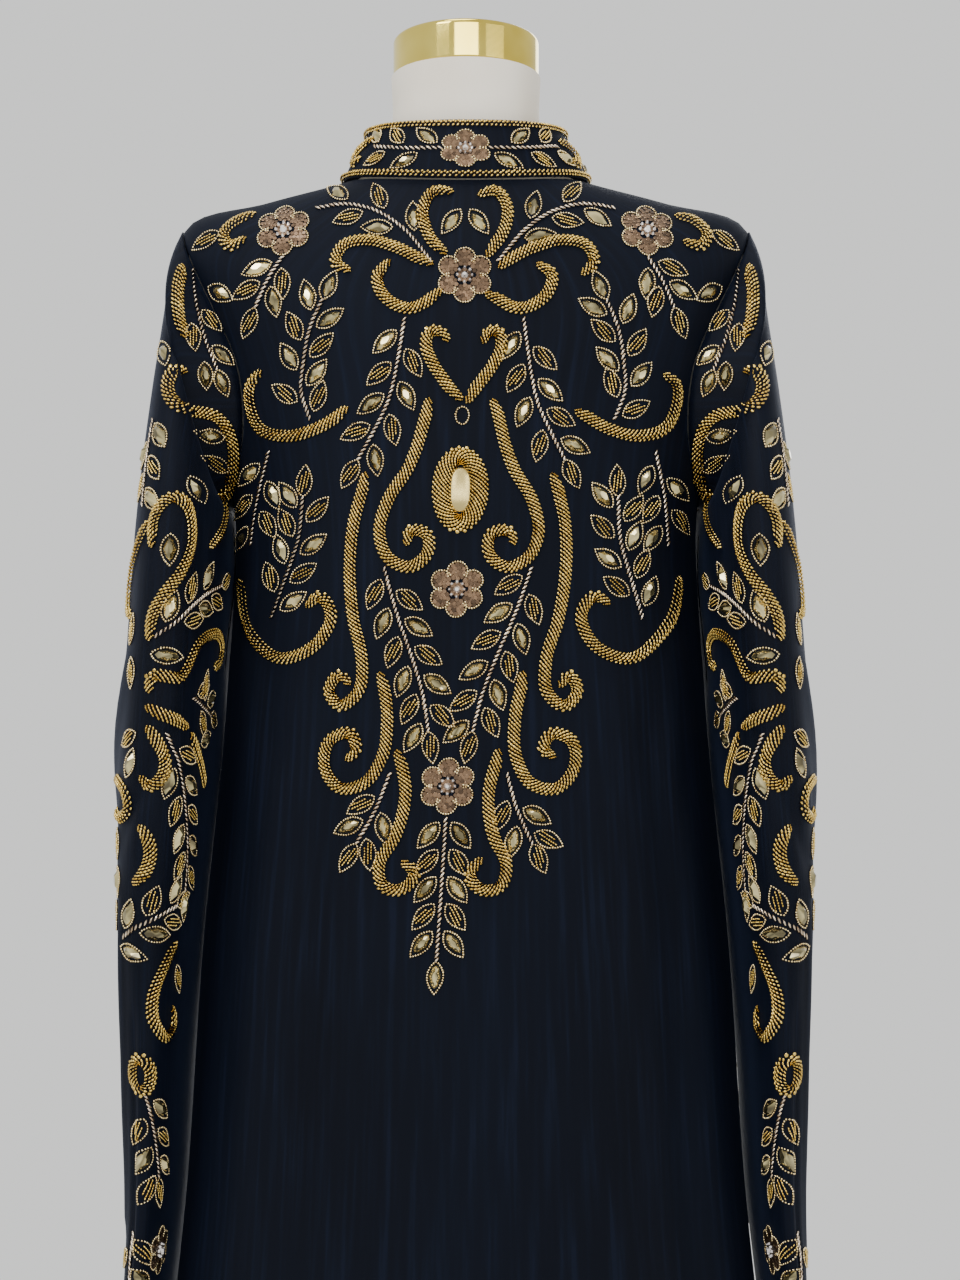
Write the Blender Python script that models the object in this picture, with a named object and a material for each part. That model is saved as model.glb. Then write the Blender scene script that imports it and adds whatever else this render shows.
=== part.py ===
"""A beaded bisht, a long open robe with a band collar, on a limbless dress form and stand.

Metres, +Z up. The origin is the centre of the base's underside. The back of the robe faces -Y,
its front opening faces +Y, and the wearer's right side is at +X.

Each cloth panel is a wall. Its inside is plain, and its outside carries the raised beadwork:
scroll ropes, leaves and flowers. A panel is laid out in its own flat coordinates (u, v), where u
goes round the body or the sleeve and v goes down from the neck or the shoulder.
"""
import math
from collections import namedtuple

import bmesh
import bpy
import numpy as np
from mathutils import Vector
from mathutils.geometry import delaunay_2d_cdt

# Cloth and seams
CLOTH = 0.0015
SEAM = 0.0004
LAP = CLOTH + SEAM
HEM_Z = 0.030
CORNER = 0.10

# Beadwork heights and widths
ROPE_HALF = 0.0034
ROPE_HIGH = 0.0032
ROPE_STEP = 0.0125
LEAF_LONG = 0.0190
LEAF_HALF = 0.0050
LEAF_HIGH = 0.0024
LEAF_OUT = 0.0098
LEAF_TURN = math.radians(38)
PETALS = 6
PETAL_HIGH = 0.0020
FLOWER_EYE = 0.0034
CLEAR_OF_BEADS = 0.0075
CLEAR_OF_EDGE = 0.0015
GRID_CLEAR = 0.006
MERGE = 0.0005
MM = 0.001
STEM_STEP = 0.001
SMALL_LEAF = 0.9

# How surfaces are read: small steps for their slopes, and the search for a motif's place
SLOPE_STEP = 0.0015
SLOPE_TURN = 0.004
SLEEVE_TURN = 0.01
SEARCH_ROUNDS = 30
SEARCH_PACE = 0.7
BACK_GUESS = 0.16
FRONT_GUESS = 0.19

# Stand
BASE_RADIUS = 0.190
BASE_THICK = 0.008
BASE_EDGE = 0.0015
POLE_RADIUS = 0.0125
FORM_FOOT_Z = 0.800
TURN_SIDES = 32

# Rings of the robe's body, from the neck down. Heights are at the back, the side and the front.
BodyRow = namedtuple("BodyRow", "name z_back z_side z_front half_width back front")
BODY_ROWS = (
    BodyRow("neck", 1.480, 1.487, 1.440, 0.0815, 0.062, 0.068),
    BodyRow("mid shoulder", 1.440, 1.474, 1.395, 0.135, 0.080, 0.088),
    BodyRow("shoulder point", 1.392, 1.456, 1.345, 0.189, 0.093, 0.104),
    BodyRow("armhole", 1.330, 1.365, 1.300, 0.170, 0.101, 0.118),
    BodyRow("underarm", 1.268, 1.272, 1.245, 0.154, 0.106, 0.126),
    BodyRow("midriff", 1.130, 1.130, 1.120, 0.1610, 0.110, 0.127),
    BodyRow("hip", 0.980, 0.980, 0.975, 0.1755, 0.117, 0.128),
    BodyRow("thigh", 0.800, 0.800, 0.800, 0.186, 0.129, 0.134),
    BodyRow("knee", 0.500, 0.500, 0.500, 0.221, 0.156, 0.155),
    BodyRow("calf", 0.250, 0.250, 0.250, 0.256, 0.181, 0.176),
    BodyRow("hem", HEM_Z, HEM_Z, HEM_Z, 0.290, 0.205, 0.198),
)

# Soft upright folds of the skirt, as deep as this at the hem. u is 0 at centre back, 1 at the side.
Fold = namedtuple("Fold", "u half_width depth")
SKIRT_FOLDS = (
    Fold(0.10, 0.11, 0.012),
    Fold(0.38, 0.13, 0.021),
    Fold(0.70, 0.12, 0.018),
    Fold(1.02, 0.13, 0.023),
    Fold(1.36, 0.14, 0.019),
    Fold(1.70, 0.12, 0.020),
)
FOLDS_START_Z = 1.06
FOLD_POWER = 1.5

# Armhole: how far it cuts in from the side line, as a share of the quarter round
ARMHOLE_BACK = 0.37
ARMHOLE_FRONT = 0.33
ARMHOLE_STEPS = 11

# Front opening
OPEN_NECK = 0.007
OPEN_HEM = 0.030

# Rings of a sleeve below its armhole. The outer line hangs from the shoulder point.
SleeveRow = namedtuple("SleeveRow", "name outer_x outer_z inner_x inner_z half_depth mid_y")
SLEEVE_ROWS = (
    SleeveRow("crown", 0.1950, 1.443, 0.1605, 1.2705, 0.070, 0.000),
    SleeveRow("cap", 0.1995, 1.405, 0.1605, 1.2640, 0.082, -0.001),
    SleeveRow("upper arm", 0.2070, 1.350, 0.1605, 1.2480, 0.092, -0.003),
    SleeveRow("biceps", 0.2160, 1.275, 0.1610, 1.2180, 0.098, -0.004),
    SleeveRow("above elbow", 0.2220, 1.190, 0.1637, 1.1720, 0.101, -0.005),
    SleeveRow("elbow", 0.2285, 1.110, 0.1665, 1.1060, 0.101, -0.005),
    SleeveRow("forearm", 0.2295, 1.000, 0.1780, 1.0000, 0.096, -0.004),
    SleeveRow("low forearm", 0.2245, 0.900, 0.1868, 0.9000, 0.090, -0.003),
    SleeveRow("wrist", 0.2225, 0.810, 0.1930, 0.8100, 0.086, -0.002),
    SleeveRow("cuff", 0.2265, 0.715, 0.2040, 0.7150, 0.086, -0.002),
)
SLEEVE_COLUMNS = 20
SLEEVE_STEP = 0.050

# Collar: top ring, above the neck ring
COLLAR_TOP = BodyRow("collar top", 1.521, 1.523, 1.487, 0.0640, 0.0550, 0.0580)
COLLAR_BULGE = 0.0015
COLLAR_FLAT_HEIGHT = 0.042

# Dress form: its rings under the robe lie this far inside the cloth
FormGap = namedtuple("FormGap", "row gap")
FORM_GAPS = (
    FormGap(0, 0.0005),
    FormGap(1, 0.0006),
    FormGap(2, 0.0034),
    FormGap(3, 0.0055),
    FormGap(4, 0.0065),
)
FORM_NECK = (
    BodyRow("neck top", 1.5640, 1.5605, 1.5570, 0.0505, 0.0505, 0.0505),
    BodyRow("mid neck", 1.5340, 1.5310, 1.5260, 0.0498, 0.0492, 0.0495),
    BodyRow("neck root", 1.5050, 1.5060, 1.4760, 0.0550, 0.0490, 0.0495),
)
FORM_BODY = (
    BodyRow("under bust", 1.165, 1.165, 1.160, 0.134, 0.090, 0.104),
    BodyRow("waist", 1.075, 1.075, 1.075, 0.118, 0.084, 0.090),
    BodyRow("high hip", 0.985, 0.985, 0.985, 0.143, 0.098, 0.100),
    BodyRow("hip", 0.895, 0.895, 0.895, 0.158, 0.107, 0.104),
    BodyRow("foot", FORM_FOOT_Z, FORM_FOOT_Z, FORM_FOOT_Z, 0.148, 0.100, 0.097),
)
CAP_GAP = 0.0003
CAP_HIGH = 0.0260
CAP_RADIUS = 0.0492
CAP_EDGE = 0.0030

# The whole design hangs a little to the left low down, as the cloth does
LEAN = 0.0713

# Beadwork of the back, in mm: across from the centre line, down from the neck seam.
# Each row is worked on both sides of the centre line.
Scroll = namedtuple("Scroll", "name points")
BACK_SCROLLS = (
    Scroll("crown", ((13, 53), (24, 38), (27, 19), (20, 8), (8, 10))),
    Scroll("wing", ((21, 60), (45, 47), (64, 42), (79, 46), (83, 57), (74, 64))),
    Scroll("cradle", ((14, 77), (36, 88), (52, 79), (56, 66), (47, 57))),
    Scroll("heart", ((27, 113), (20, 106), (13, 118), (3, 141))),
    Scroll("hook", ((129, 126), (137, 133), (137, 148), (130, 162), (112, 168), (90, 163), (72, 152))),
    Scroll("shoulder", ((138, 20), (151, 25), (158, 34), (153, 43), (142, 39))),
    Scroll("long inner", ((20, 146), (33, 190), (46, 213), (49, 234), (42, 248), (29, 252), (21, 241),
                          (24, 229), (34, 226))),
    Scroll("long outer", ((59, 193), (67, 228), (68, 256), (64, 288), (58, 312), (60, 334), (70, 341),
                          (78, 331), (70, 322))),
    Scroll("cup", ((143, 258), (136, 288), (111, 311), (84, 298), (80, 277), (89, 272))),
    Scroll("ram", ((45, 319), (40, 350), (42, 373), (53, 390), (68, 393), (78, 380), (76, 363),
                   (64, 358), (59, 368))),
    Scroll("foot", ((32, 368), (26, 396), (31, 423), (40, 441), (37, 454), (25, 456), (17, 446),
                    (25, 437))),
)

# A spray is a stem with leaves on alternate sides, or in pairs, and one at its tip
Spray = namedtuple("Spray", "name stem first pitch leaves paired tip")
BACK_SPRAYS = (
    Spray("shoulder stem", ((22, 56), (40, 34), (59, 21), (78, 16), (96, 18)), 22, 12.0, 5, False, False),
    Spray("fall", ((38, 95), (41, 117), (48, 150), (57, 169), (65, 184)), 8, 10.6, 8, False, True),
    Spray("rise", ((97, 157), (103, 140), (102, 122), (98, 99), (91, 82)), 3, 9.6, 8, False, True),
    Spray("shoulder drop", ((118, 53), (126, 66), (134, 84)), 5, 9.0, 4, False, True),
    Spray("side fall", ((124, 178), (131, 208), (134, 236)), 8, 10.0, 5, False, False),
    Spray("cup rise", ((118, 284), (110, 260), (102, 234), (100, 208)), 6, 9.6, 8, False, True),
    Spray("inner fall", ((46, 254), (38, 280), (28, 306), (19, 332), (14, 356)), 6, 9.6, 11, False, True),
    Spray("tail side", ((37, 384), (44, 405), (55, 427)), 16, 8.5, 4, False, True),
)
CENTRE_SPRAY = Spray("tail", ((0, 412), (0, 455), (0, 500)), 2, 17.0, 5, True, True)
CROWN_LEAVES = ((3, 22, 14, 38),)

Flower = namedtuple("Flower", "name across down radius")
BACK_FLOWERS = (
    Flower("shoulder", 118, 33, 18.5),
)
CENTRE_FLOWERS = (
    Flower("nape", 0, 66, 18.5),
    Flower("middle", 0, 267, 18.0),
    Flower("low", 0, 391, 18.0),
)
PENDANT_DOWN = 204
PENDANT_RING = (12.0, 21.5)
PENDANT_ROPE = 0.0055
PENDANT_HIGH = 0.0038
PENDANT_MIRROR = (5.5, 12.5)
PENDANT_MIRROR_HIGH = 0.0012
PENDANT_STEPS = 14

# Beadwork that comes over the shoulder to each front, in mm as on the back
FRONT_SPRAYS = (
    Spray("shoulder stem", ((70, 22), (88, 20), (106, 24)), 4, 12.0, 4, False, False),
    Spray("shoulder drop", ((122, 62), (130, 78), (137, 96)), 4, 9.0, 4, False, True),
)
FRONT_FLOWERS = (
    Flower("shoulder", 118, 42, 17.0),
)

# Beadwork of the sleeve, in mm: round from its rearmost line (+ towards the body, - towards the
# outer line), and height above the floor. It is worked on the rear half and mirrored on the front.
SLEEVE_SCROLLS = (
    Scroll("sickle", ((-5, 1353), (-12, 1343), (-9, 1333), (5, 1328), (21, 1324), (34, 1311), (38, 1287),
                      (26, 1262), (8, 1240))),
    Scroll("arch", ((-19, 1181), (-17, 1200), (-6, 1215), (1, 1233), (2, 1254), (-5, 1272), (-16, 1275),
                    (-22, 1262), (-22, 1236))),
    Scroll("outer hook", ((-32, 1262), (-40, 1235), (-46, 1214), (-41, 1205), (-32, 1208))),
    Scroll("wave", ((-14, 1149), (-13, 1160), (1, 1157), (7, 1171), (17, 1182), (31, 1182), (40, 1171),
                    (34, 1161), (25, 1166))),
    Scroll("bar", ((-15, 1135), (12, 1124))),
    Scroll("bar hook", ((-14, 1124), (-3, 1113), (0, 1100), (-6, 1088), (-14, 1095))),
    Scroll("bar tail", ((16, 1117), (23, 1102), (30, 1084))),
    Scroll("comma", ((-14, 1058), (-9, 1045), (-12, 1031), (-18, 1021))),
    Scroll("crook", ((8, 988), (-4, 971), (-10, 948), (-7, 928), (2, 922), (10, 932), (9, 944))),
)
SLEEVE_SPRAYS = (
    Spray("outer column", ((-38, 1326), (-39, 1296), (-39, 1268)), 4, 13.0, 4, False, False),
    Spray("elbow", ((34, 1222), (14, 1212), (2, 1198), (-9, 1186)), 6, 8.5, 5, False, False),
    Spray("under wave", ((22, 1150), (14, 1140), (26, 1128)), 2, 9.0, 3, False, False),
    Spray("long", ((4, 1112), (9, 1085), (13, 1055), (12, 1025)), 20, 9.5, 7, False, True),
    Spray("cluster", ((-30, 985), (-16, 996), (-2, 1006)), 1, 9.0, 4, False, True),
    Spray("wrist", ((-4, 880), (1, 856), (3, 832)), 4, 9.6, 6, False, True),
    Spray("cuff", ((-8, 800), (-9, 785), (-7, 765)), 2, 12.0, 3, False, False),
)
SLEEVE_FLOWERS = (
    Flower("wrist", 9, 791, 17.0),
)
RING_AT = (-12, 896)
RING_SIZE = (6.0, 10.5)
RING_STEPS = 10
# The spray on the sleeve's crown is placed as it is seen from behind: distance out from the
# robe's centre plane, and height
CROWN_SPRAY = Spray("crown", ((178, 1427), (173, 1402), (168, 1373), (165, 1357)), 4, 9.5, 6, False, True)

# Beadwork of the collar: round from centre back and down from its top edge, in mm
COLLAR_SCROLLS = (
    Scroll("end", ((62, 13), (72, 16), (80, 24), (74, 31), (67, 27))),
)
COLLAR_SPRAYS = (
    Spray("side", ((13, 21), (32, 21), (56, 19)), 2, 10.0, 5, False, False),
    Spray("front", ((92, 21), (112, 21), (132, 21)), 2, 10.0, 4, False, False),
)
COLLAR_FLOWER = Flower("collar", 0, 21, 13.5)
COLLAR_RIDGE_IN = 0.0032
COLLAR_RIDGE_HALF = 0.0024
COLLAR_RIDGE_HIGH = 0.0018
COLLAR_RIDGE_END = 0.04
COLLAR_LEAF = 0.85

Finish = namedtuple("Finish", "colour roughness metallic")
FINISHES = {
    "cloth": Finish((0.0085, 0.0125, 0.0235), 0.72, 0.0),
    "form_cover": Finish((0.74, 0.70, 0.62), 0.80, 0.0),
    "gold_cap": Finish((0.86, 0.66, 0.26), 0.16, 1.0),
    "stand_metal": Finish((0.80, 0.62, 0.28), 0.28, 1.0),
}


# Curves through table rows

def tangents_through(knots, values):
    """Slopes of a smooth curve at rows of values set at rising knots."""
    steps = np.diff(knots)
    slopes = np.diff(values, axis=0) / steps[:, None]
    before, after = steps[:-1, None], steps[1:, None]
    middle = (slopes[:-1] * after + slopes[1:] * before) / (before + after)
    return np.concatenate([slopes[:1], middle, slopes[-1:]])


def between(t, span, first, last, first_slope, last_slope):
    """Cubic from one value to the next, at share t of the way."""
    return (first * (2 * t**3 - 3 * t**2 + 1) + first_slope * span * (t**3 - 2 * t**2 + t)
            + last * (3 * t**2 - 2 * t**3) + last_slope * span * (t**3 - t**2))


def knot_before(knots, at):
    """Number of the last knot at or before each place, short of the final one."""
    return np.clip(np.searchsorted(knots, at, side="right") - 1, 0, len(knots) - 2)


def through(knots, values, at):
    """Smooth curve through rows of values at rising knots, read at the places asked for."""
    knots, values = np.asarray(knots, float), np.asarray(values, float)
    at = np.clip(np.asarray(at, float), knots[0], knots[-1])
    slopes = tangents_through(knots, values)
    row = knot_before(knots, at)
    span = np.diff(knots)[row][..., None]
    t = (at - knots[row])[..., None] / span
    return between(t, span, values[row], values[row + 1], slopes[row], slopes[row + 1])


def columnwise(knots, values, at):
    """Smooth curves through columns of values, each read at a place of its own."""
    at = np.clip(at, knots[0], knots[-1])
    slopes = tangents_through(knots, values)
    row, column = knot_before(knots, at), np.arange(values.shape[1])
    span = np.diff(knots)[row]
    t = (at - knots[row]) / span
    return between(t, span, values[row, column], values[row + 1, column],
                   slopes[row, column], slopes[row + 1, column])


def smooth_path(points, step):
    """Evenly stepped points along a smooth curve through a motif's few points."""
    points = np.asarray(points, float)
    lengths = np.linalg.norm(np.diff(points, axis=0), axis=1)
    knots = np.concatenate([[0.0], np.cumsum(lengths)])
    fine = through(knots, points, np.linspace(0, knots[-1], 40 * len(points)))
    run = np.concatenate([[0.0], np.cumsum(np.linalg.norm(np.diff(fine, axis=0), axis=1))])
    count = max(2, round(run[-1] / step))
    at = np.linspace(0, run[-1], count + 1)
    return np.stack([np.interp(at, run, fine[:, axis]) for axis in (0, 1)], axis=1)


# Surface of the robe's body

def row_values(rows):
    """Numbers of a table of rings, without the names."""
    return np.array([row[1:] for row in rows], float)


def down_the_back(rows):
    """Distance down the back from the first ring to each ring."""
    table = row_values(rows)
    heights, depths = table[:, 0], table[:, 4]
    return np.concatenate([[0.0], np.cumsum(np.hypot(np.diff(heights), np.diff(depths)))])


BODY_KNOTS = down_the_back(BODY_ROWS)
BODY_LENGTH = BODY_KNOTS[-1]
SHOULDER_V = BODY_KNOTS[2]
UNDERARM_V = BODY_KNOTS[4]


def ring_point(ring, u, corner=CORNER):
    """Point of an oval ring: u is 0 at centre back, 1 at the +X side and 2 at centre front."""
    z_back, z_side, z_front, half_width, back, front = np.moveaxis(ring, -1, 0)
    turn = np.asarray(u, float) * math.pi / 2
    sine, cosine = np.sin(turn), np.cos(turn)
    depth = np.where(cosine >= 0, back, front)
    level = np.where(cosine >= 0, z_back, z_front)
    x = half_width * sine * (1 + corner * cosine**2)
    y = -depth * cosine * (1 + corner * sine**2)
    z = level + (z_side - level) * sine**2
    return np.stack(np.broadcast_arrays(x, y, z), axis=-1)


def fold_push(u, height):
    """How far the skirt's folds push the cloth out at a place."""
    share = np.clip((FOLDS_START_Z - height) / (FOLDS_START_Z - HEM_Z), 0, 1) ** FOLD_POWER
    push = np.zeros_like(share)
    for fold in SKIRT_FOLDS:
        for side in (-1, 1):
            off = (u - side * fold.u) / fold.half_width
            push = push + fold.depth * np.exp(-off**2)
    return push * share


def body_point(u, v):
    """Inside of the robe's cloth, u round the body and v down the back."""
    u, v = np.broadcast_arrays(np.asarray(u, float), np.asarray(v, float))
    point = ring_point(through(BODY_KNOTS, row_values(BODY_ROWS), v), u)
    turn = u * math.pi / 2
    push = fold_push(u, point[..., 2])
    point[..., 0] += push * np.sin(turn)
    point[..., 1] -= push * np.cos(turn)
    return point


def normals(surface, u, v, du, dv):
    """Outward unit normals of a surface, by small steps along u and v."""
    along = surface(u + du, v) - surface(u - du, v)
    down = surface(u, v + dv) - surface(u, v - dv)
    normal = np.cross(down, along)
    return normal / np.linalg.norm(normal, axis=-1, keepdims=True)


def body_normal(u, v):
    """Outward normal of the robe's body."""
    inner = np.clip(v, SLOPE_STEP, BODY_LENGTH - SLOPE_STEP)
    return normals(body_point, u, inner, SLOPE_TURN, SLOPE_STEP)


def armhole(angle, side):
    """Place (u, v) on the armhole's edge: 0 at the shoulder, +90 degrees behind, 180 under the arm."""
    cut = np.where(np.sin(angle) >= 0, ARMHOLE_BACK, ARMHOLE_FRONT)
    u = side * (1 - cut * np.sin(angle))
    v = (SHOULDER_V + UNDERARM_V) / 2 - (UNDERARM_V - SHOULDER_V) / 2 * np.cos(angle)
    return u, v


# Surface of a sleeve

def armhole_ring(angle, side):
    """The sleeve's first ring, just outside the cloth round the armhole."""
    u, v = armhole(angle, side)
    ring = body_point(u, v) + body_normal(u, v) * LAP
    ring[..., 0] += side * SEAM
    return ring


def sleeve_ring(row, angle, side):
    """A ring of the hanging sleeve: 0 on the outer line, 90 degrees behind, 180 by the body."""
    cosine, sine = np.cos(angle), np.sin(angle)
    round_out = cosine * (1 + CORNER * sine**2)
    x = (row.outer_x + row.inner_x) / 2 + (row.outer_x - row.inner_x) / 2 * round_out
    z = (row.outer_z + row.inner_z) / 2 + (row.outer_z - row.inner_z) / 2 * round_out
    y = row.mid_y - row.half_depth * sine * (1 + CORNER * cosine**2)
    return np.stack([side * x, y, z], axis=-1)


def sleeve_knots():
    """Distance down the outer line from the armhole to each ring."""
    start = armhole_ring(np.array(0.0), 1)
    outer = [(start[0], start[2])] + [(row.outer_x, row.outer_z) for row in SLEEVE_ROWS]
    steps = np.linalg.norm(np.diff(np.array(outer, float), axis=0), axis=1)
    return np.concatenate([[0.0], np.cumsum(steps)])


SLEEVE_KNOTS = sleeve_knots()
SLEEVE_LENGTH = SLEEVE_KNOTS[-1]


def sleeve_surface(side):
    """Inside of a sleeve's cloth, as a function of the angle round it and the length down it."""
    def surface(angle, v):
        angle, v = np.broadcast_arrays(np.asarray(angle, float), np.asarray(v, float))
        rings = [armhole_ring(angle, side)]
        rings += [sleeve_ring(row, angle, side) for row in SLEEVE_ROWS]
        stack = np.stack(rings)
        flat = stack.reshape(len(rings), -1)
        return columnwise(SLEEVE_KNOTS, flat, np.repeat(v.reshape(-1), 3)).reshape(angle.shape + (3,))
    return surface


# Surface of the collar

def collar_point(u, v):
    """Inside of the collar, u round the neck and v from 0 at the neck seam to 1 at the top."""
    u, v = np.broadcast_arrays(np.asarray(u, float), np.asarray(v, float))
    start = body_point(u, np.zeros_like(v))
    foot = start + body_normal(u, np.zeros_like(v)) * LAP
    foot[..., 2] += SEAM
    top = ring_point(row_values((COLLAR_TOP,))[0] + np.zeros(u.shape + (6,)), u)
    turn = u * math.pi / 2
    bulge = COLLAR_BULGE * 4 * v * (1 - v)
    point = foot + (top - foot) * v[..., None]
    point[..., 0] += bulge * np.sin(turn)
    point[..., 1] -= bulge * np.cos(turn)
    return point


def collar_down(u, metres):
    """Collar point by its distance in metres below the collar's top edge."""
    return collar_point(u, 1 - metres / COLLAR_FLAT_HEIGHT)


# Finding the flat place of a motif's point

class Finder:
    """Finds the flat place (u, v) where two measures of a surface have asked-for values."""

    def __init__(self, u_axis, v_axis, first, second):
        self.u_axis, self.v_axis = u_axis, v_axis
        self.tables = (first, second)

    def read(self, table, u, v):
        """Value of a table at flat places, by straight lines between its entries."""
        i = np.clip((u - self.u_axis[0]) / (self.u_axis[1] - self.u_axis[0]), 0, len(self.u_axis) - 1.001)
        j = np.clip((v - self.v_axis[0]) / (self.v_axis[1] - self.v_axis[0]), 0, len(self.v_axis) - 1.001)
        i0, j0 = i.astype(int), j.astype(int)
        fu, fv = i - i0, j - j0
        return (table[i0, j0] * (1 - fu) * (1 - fv) + table[i0 + 1, j0] * fu * (1 - fv)
                + table[i0, j0 + 1] * (1 - fu) * fv + table[i0 + 1, j0 + 1] * fu * fv)

    def find(self, first, second, u, v):
        """Steps from a first guess (u, v) to where the measures are as asked."""
        first, second = np.asarray(first, float), np.asarray(second, float)
        u = np.zeros_like(first) + u
        v = np.zeros_like(first) + v
        du = (self.u_axis[1] - self.u_axis[0]) * 2
        dv = (self.v_axis[1] - self.v_axis[0]) * 2
        for _ in range(SEARCH_ROUNDS):
            a, b = (self.read(table, u, v) for table in self.tables)
            au, bu = ((self.read(t, u + du, v) - self.read(t, u - du, v)) / (2 * du) for t in self.tables)
            av, bv = ((self.read(t, u, v + dv) - self.read(t, u, v - dv)) / (2 * dv) for t in self.tables)
            turn = au * bv - av * bu
            turn = np.where(np.abs(turn) < 1e-9, 1e-9, turn)
            miss_a, miss_b = first - a, second - b
            u = np.clip(u + SEARCH_PACE * (miss_a * bv - miss_b * av) / turn, self.u_axis.min(), self.u_axis.max())
            v = np.clip(v + SEARCH_PACE * (miss_b * au - miss_a * bu) / turn, self.v_axis[0], self.v_axis[-1])
        return u, v


def body_finder(u_low, u_high):
    """Finds places on the robe's body by their distance across and height, as seen square on."""
    u_axis = np.linspace(u_low, u_high, 241)
    v_axis = np.linspace(0.0, 0.70, 281)
    points = body_point(u_axis[:, None], v_axis[None, :])
    return Finder(u_axis, v_axis, points[..., 0], points[..., 2])


def sleeve_finder(surface, rear, by_sight):
    """Finds places on a sleeve's rear or front half by distance round it, or as seen, and height."""
    angle_axis = rear * np.linspace(0.0, math.pi, 181)
    v_axis = np.linspace(0.0, SLEEVE_LENGTH, 321)
    points = surface(angle_axis[:, None], v_axis[None, :])
    if by_sight:
        measure = np.abs(points[..., 0])
    else:
        steps = np.linalg.norm(np.diff(points, axis=0), axis=-1)
        run = np.concatenate([np.zeros((1, len(v_axis))), np.cumsum(steps, axis=0)])
        measure = run - run[90]
    return Finder(angle_axis, v_axis, measure, points[..., 2])


# Beadwork outlines. Each is a list of (across, down, height) points and the edges between them.

class Beadwork:
    """Raised forms of one panel, gathered before the panel is meshed."""

    def __init__(self):
        self.points = []
        self.edges = []
        self.forms = []

    def add(self, points, edges):
        """Adds one form's points and the edges that join them."""
        start = len(self.points)
        self.points += [tuple(point) for point in points]
        self.edges += [(a + start, b + start) for a, b in edges]
        self.forms.append(range(start, len(self.points)))

    def join(self, other):
        """Adds the forms of another piece of beadwork."""
        start = len(self.points)
        self.points += other.points
        self.edges += [(a + start, b + start) for a, b in other.edges]
        self.forms += [range(form.start + start, form.stop + start) for form in other.forms]

    def within(self, outline):
        """The forms that lie clear of a panel's edge, as points and edges."""
        points, moved = [], {}
        for form in self.forms:
            if all(inside_outline(outline, self.points[i][:2])
                   and far_from_edge(outline, np.array(self.points[i][:2]), CLEAR_OF_EDGE) for i in form):
                for i in form:
                    moved[i] = len(points)
                    points.append(self.points[i])
        edges = [(moved[a], moved[b]) for a, b in self.edges if a in moved]
        return points, edges

    def rope(self, path, half=ROPE_HALF, high=ROPE_HIGH, closed=False):
        """A raised rope along a path, pointed at its free ends."""
        path = np.asarray(path, float)
        ahead = np.roll(path, -1, axis=0) - np.roll(path, 1, axis=0)
        if not closed:
            ahead[0], ahead[-1] = path[1] - path[0], path[-1] - path[-2]
        ahead /= np.linalg.norm(ahead, axis=1)[:, None]
        aside = np.stack([-ahead[:, 1], ahead[:, 0]], axis=1)
        middle = path if closed else path[1:-1]
        side = aside if closed else aside[1:-1]
        count = len(middle)
        points = [(*(p + s * half), 0.0) for p, s in zip(middle, side)]
        points += [(*p, high) for p in middle]
        points += [(*(p - s * half), 0.0) for p, s in zip(middle, side)]
        edges = []
        for row in range(3):
            edges += [(row * count + i, row * count + i + 1) for i in range(count - 1)]
            if closed:
                edges.append((row * count + count - 1, row * count))
        if not closed:
            points += [(*path[0], 0.0), (*path[-1], 0.0)]
            first, last = 3 * count, 3 * count + 1
            for row in range(3):
                edges += [(first, row * count), (row * count + count - 1, last)]
        self.add(points, edges)

    def leaf(self, base, heading, size=1.0):
        """A pointed leaf from its base along a heading."""
        along = np.array([math.cos(heading), math.sin(heading)])
        aside = np.array([-along[1], along[0]])
        shape = ((0.0, 0.0), (0.32, 0.86), (0.66, 0.86), (1.0, 0.0), (0.66, -0.86), (0.32, -0.86))
        points = [(*(base + along * LEAF_LONG * size * a + aside * LEAF_HALF * size * b), 0.0)
                  for a, b in shape]
        points.append((*(base + along * LEAF_LONG * size * 0.48), LEAF_HIGH))
        self.add(points, [(i, (i + 1) % 6) for i in range(6)])

    def flower(self, centre, radius):
        """A flower of round petals about a low eye."""
        points = []
        for i in range(2 * PETALS):
            turn = math.pi * i / PETALS
            reach = radius if i % 2 == 0 else radius * 0.72
            points.append((centre[0] + reach * math.cos(turn), centre[1] + reach * math.sin(turn), 0.0))
        for i in range(PETALS):
            turn = 2 * math.pi * i / PETALS
            reach = radius * 0.60
            points.append((centre[0] + reach * math.cos(turn), centre[1] + reach * math.sin(turn), PETAL_HIGH))
        points.append((centre[0], centre[1], FLOWER_EYE))
        self.add(points, [(i, (i + 1) % (2 * PETALS)) for i in range(2 * PETALS)])

    def oval(self, centre, sizes, high):
        """A low oval plate with a raised middle."""
        points = []
        for i in range(8):
            turn = math.pi * i / 4
            points.append((centre[0] + sizes[0] * math.cos(turn), centre[1] + sizes[1] * math.sin(turn), high))
        self.add(points, [(i, (i + 1) % 8) for i in range(8)])


def spray_leaves(spray):
    """Base and heading of each leaf of a spray, in metres and radians."""
    stem = smooth_path(np.array(spray.stem, float) * MM, STEM_STEP)
    count = len(stem)
    rows = []
    for number in range(spray.leaves):
        place = min(count - 2, round((spray.first + number * spray.pitch) * MM / STEM_STEP))
        ahead = stem[place + 1] - stem[max(0, place - 1)]
        heading = math.atan2(ahead[1], ahead[0])
        sides = (-1, 1) if spray.paired else ((1,) if number % 2 == 0 else (-1,))
        for side in sides:
            turn = heading + side * LEAF_TURN
            aside = np.array([-math.sin(heading), math.cos(heading)]) * side
            rows.append((stem[place] + aside * (LEAF_OUT - LEAF_LONG / 2 * math.sin(LEAF_TURN)), turn))
    if spray.tip:
        ahead = stem[-1] - stem[-4]
        rows.append((stem[-1] + ahead * 0.3, math.atan2(ahead[1], ahead[0])))
    return rows


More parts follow.
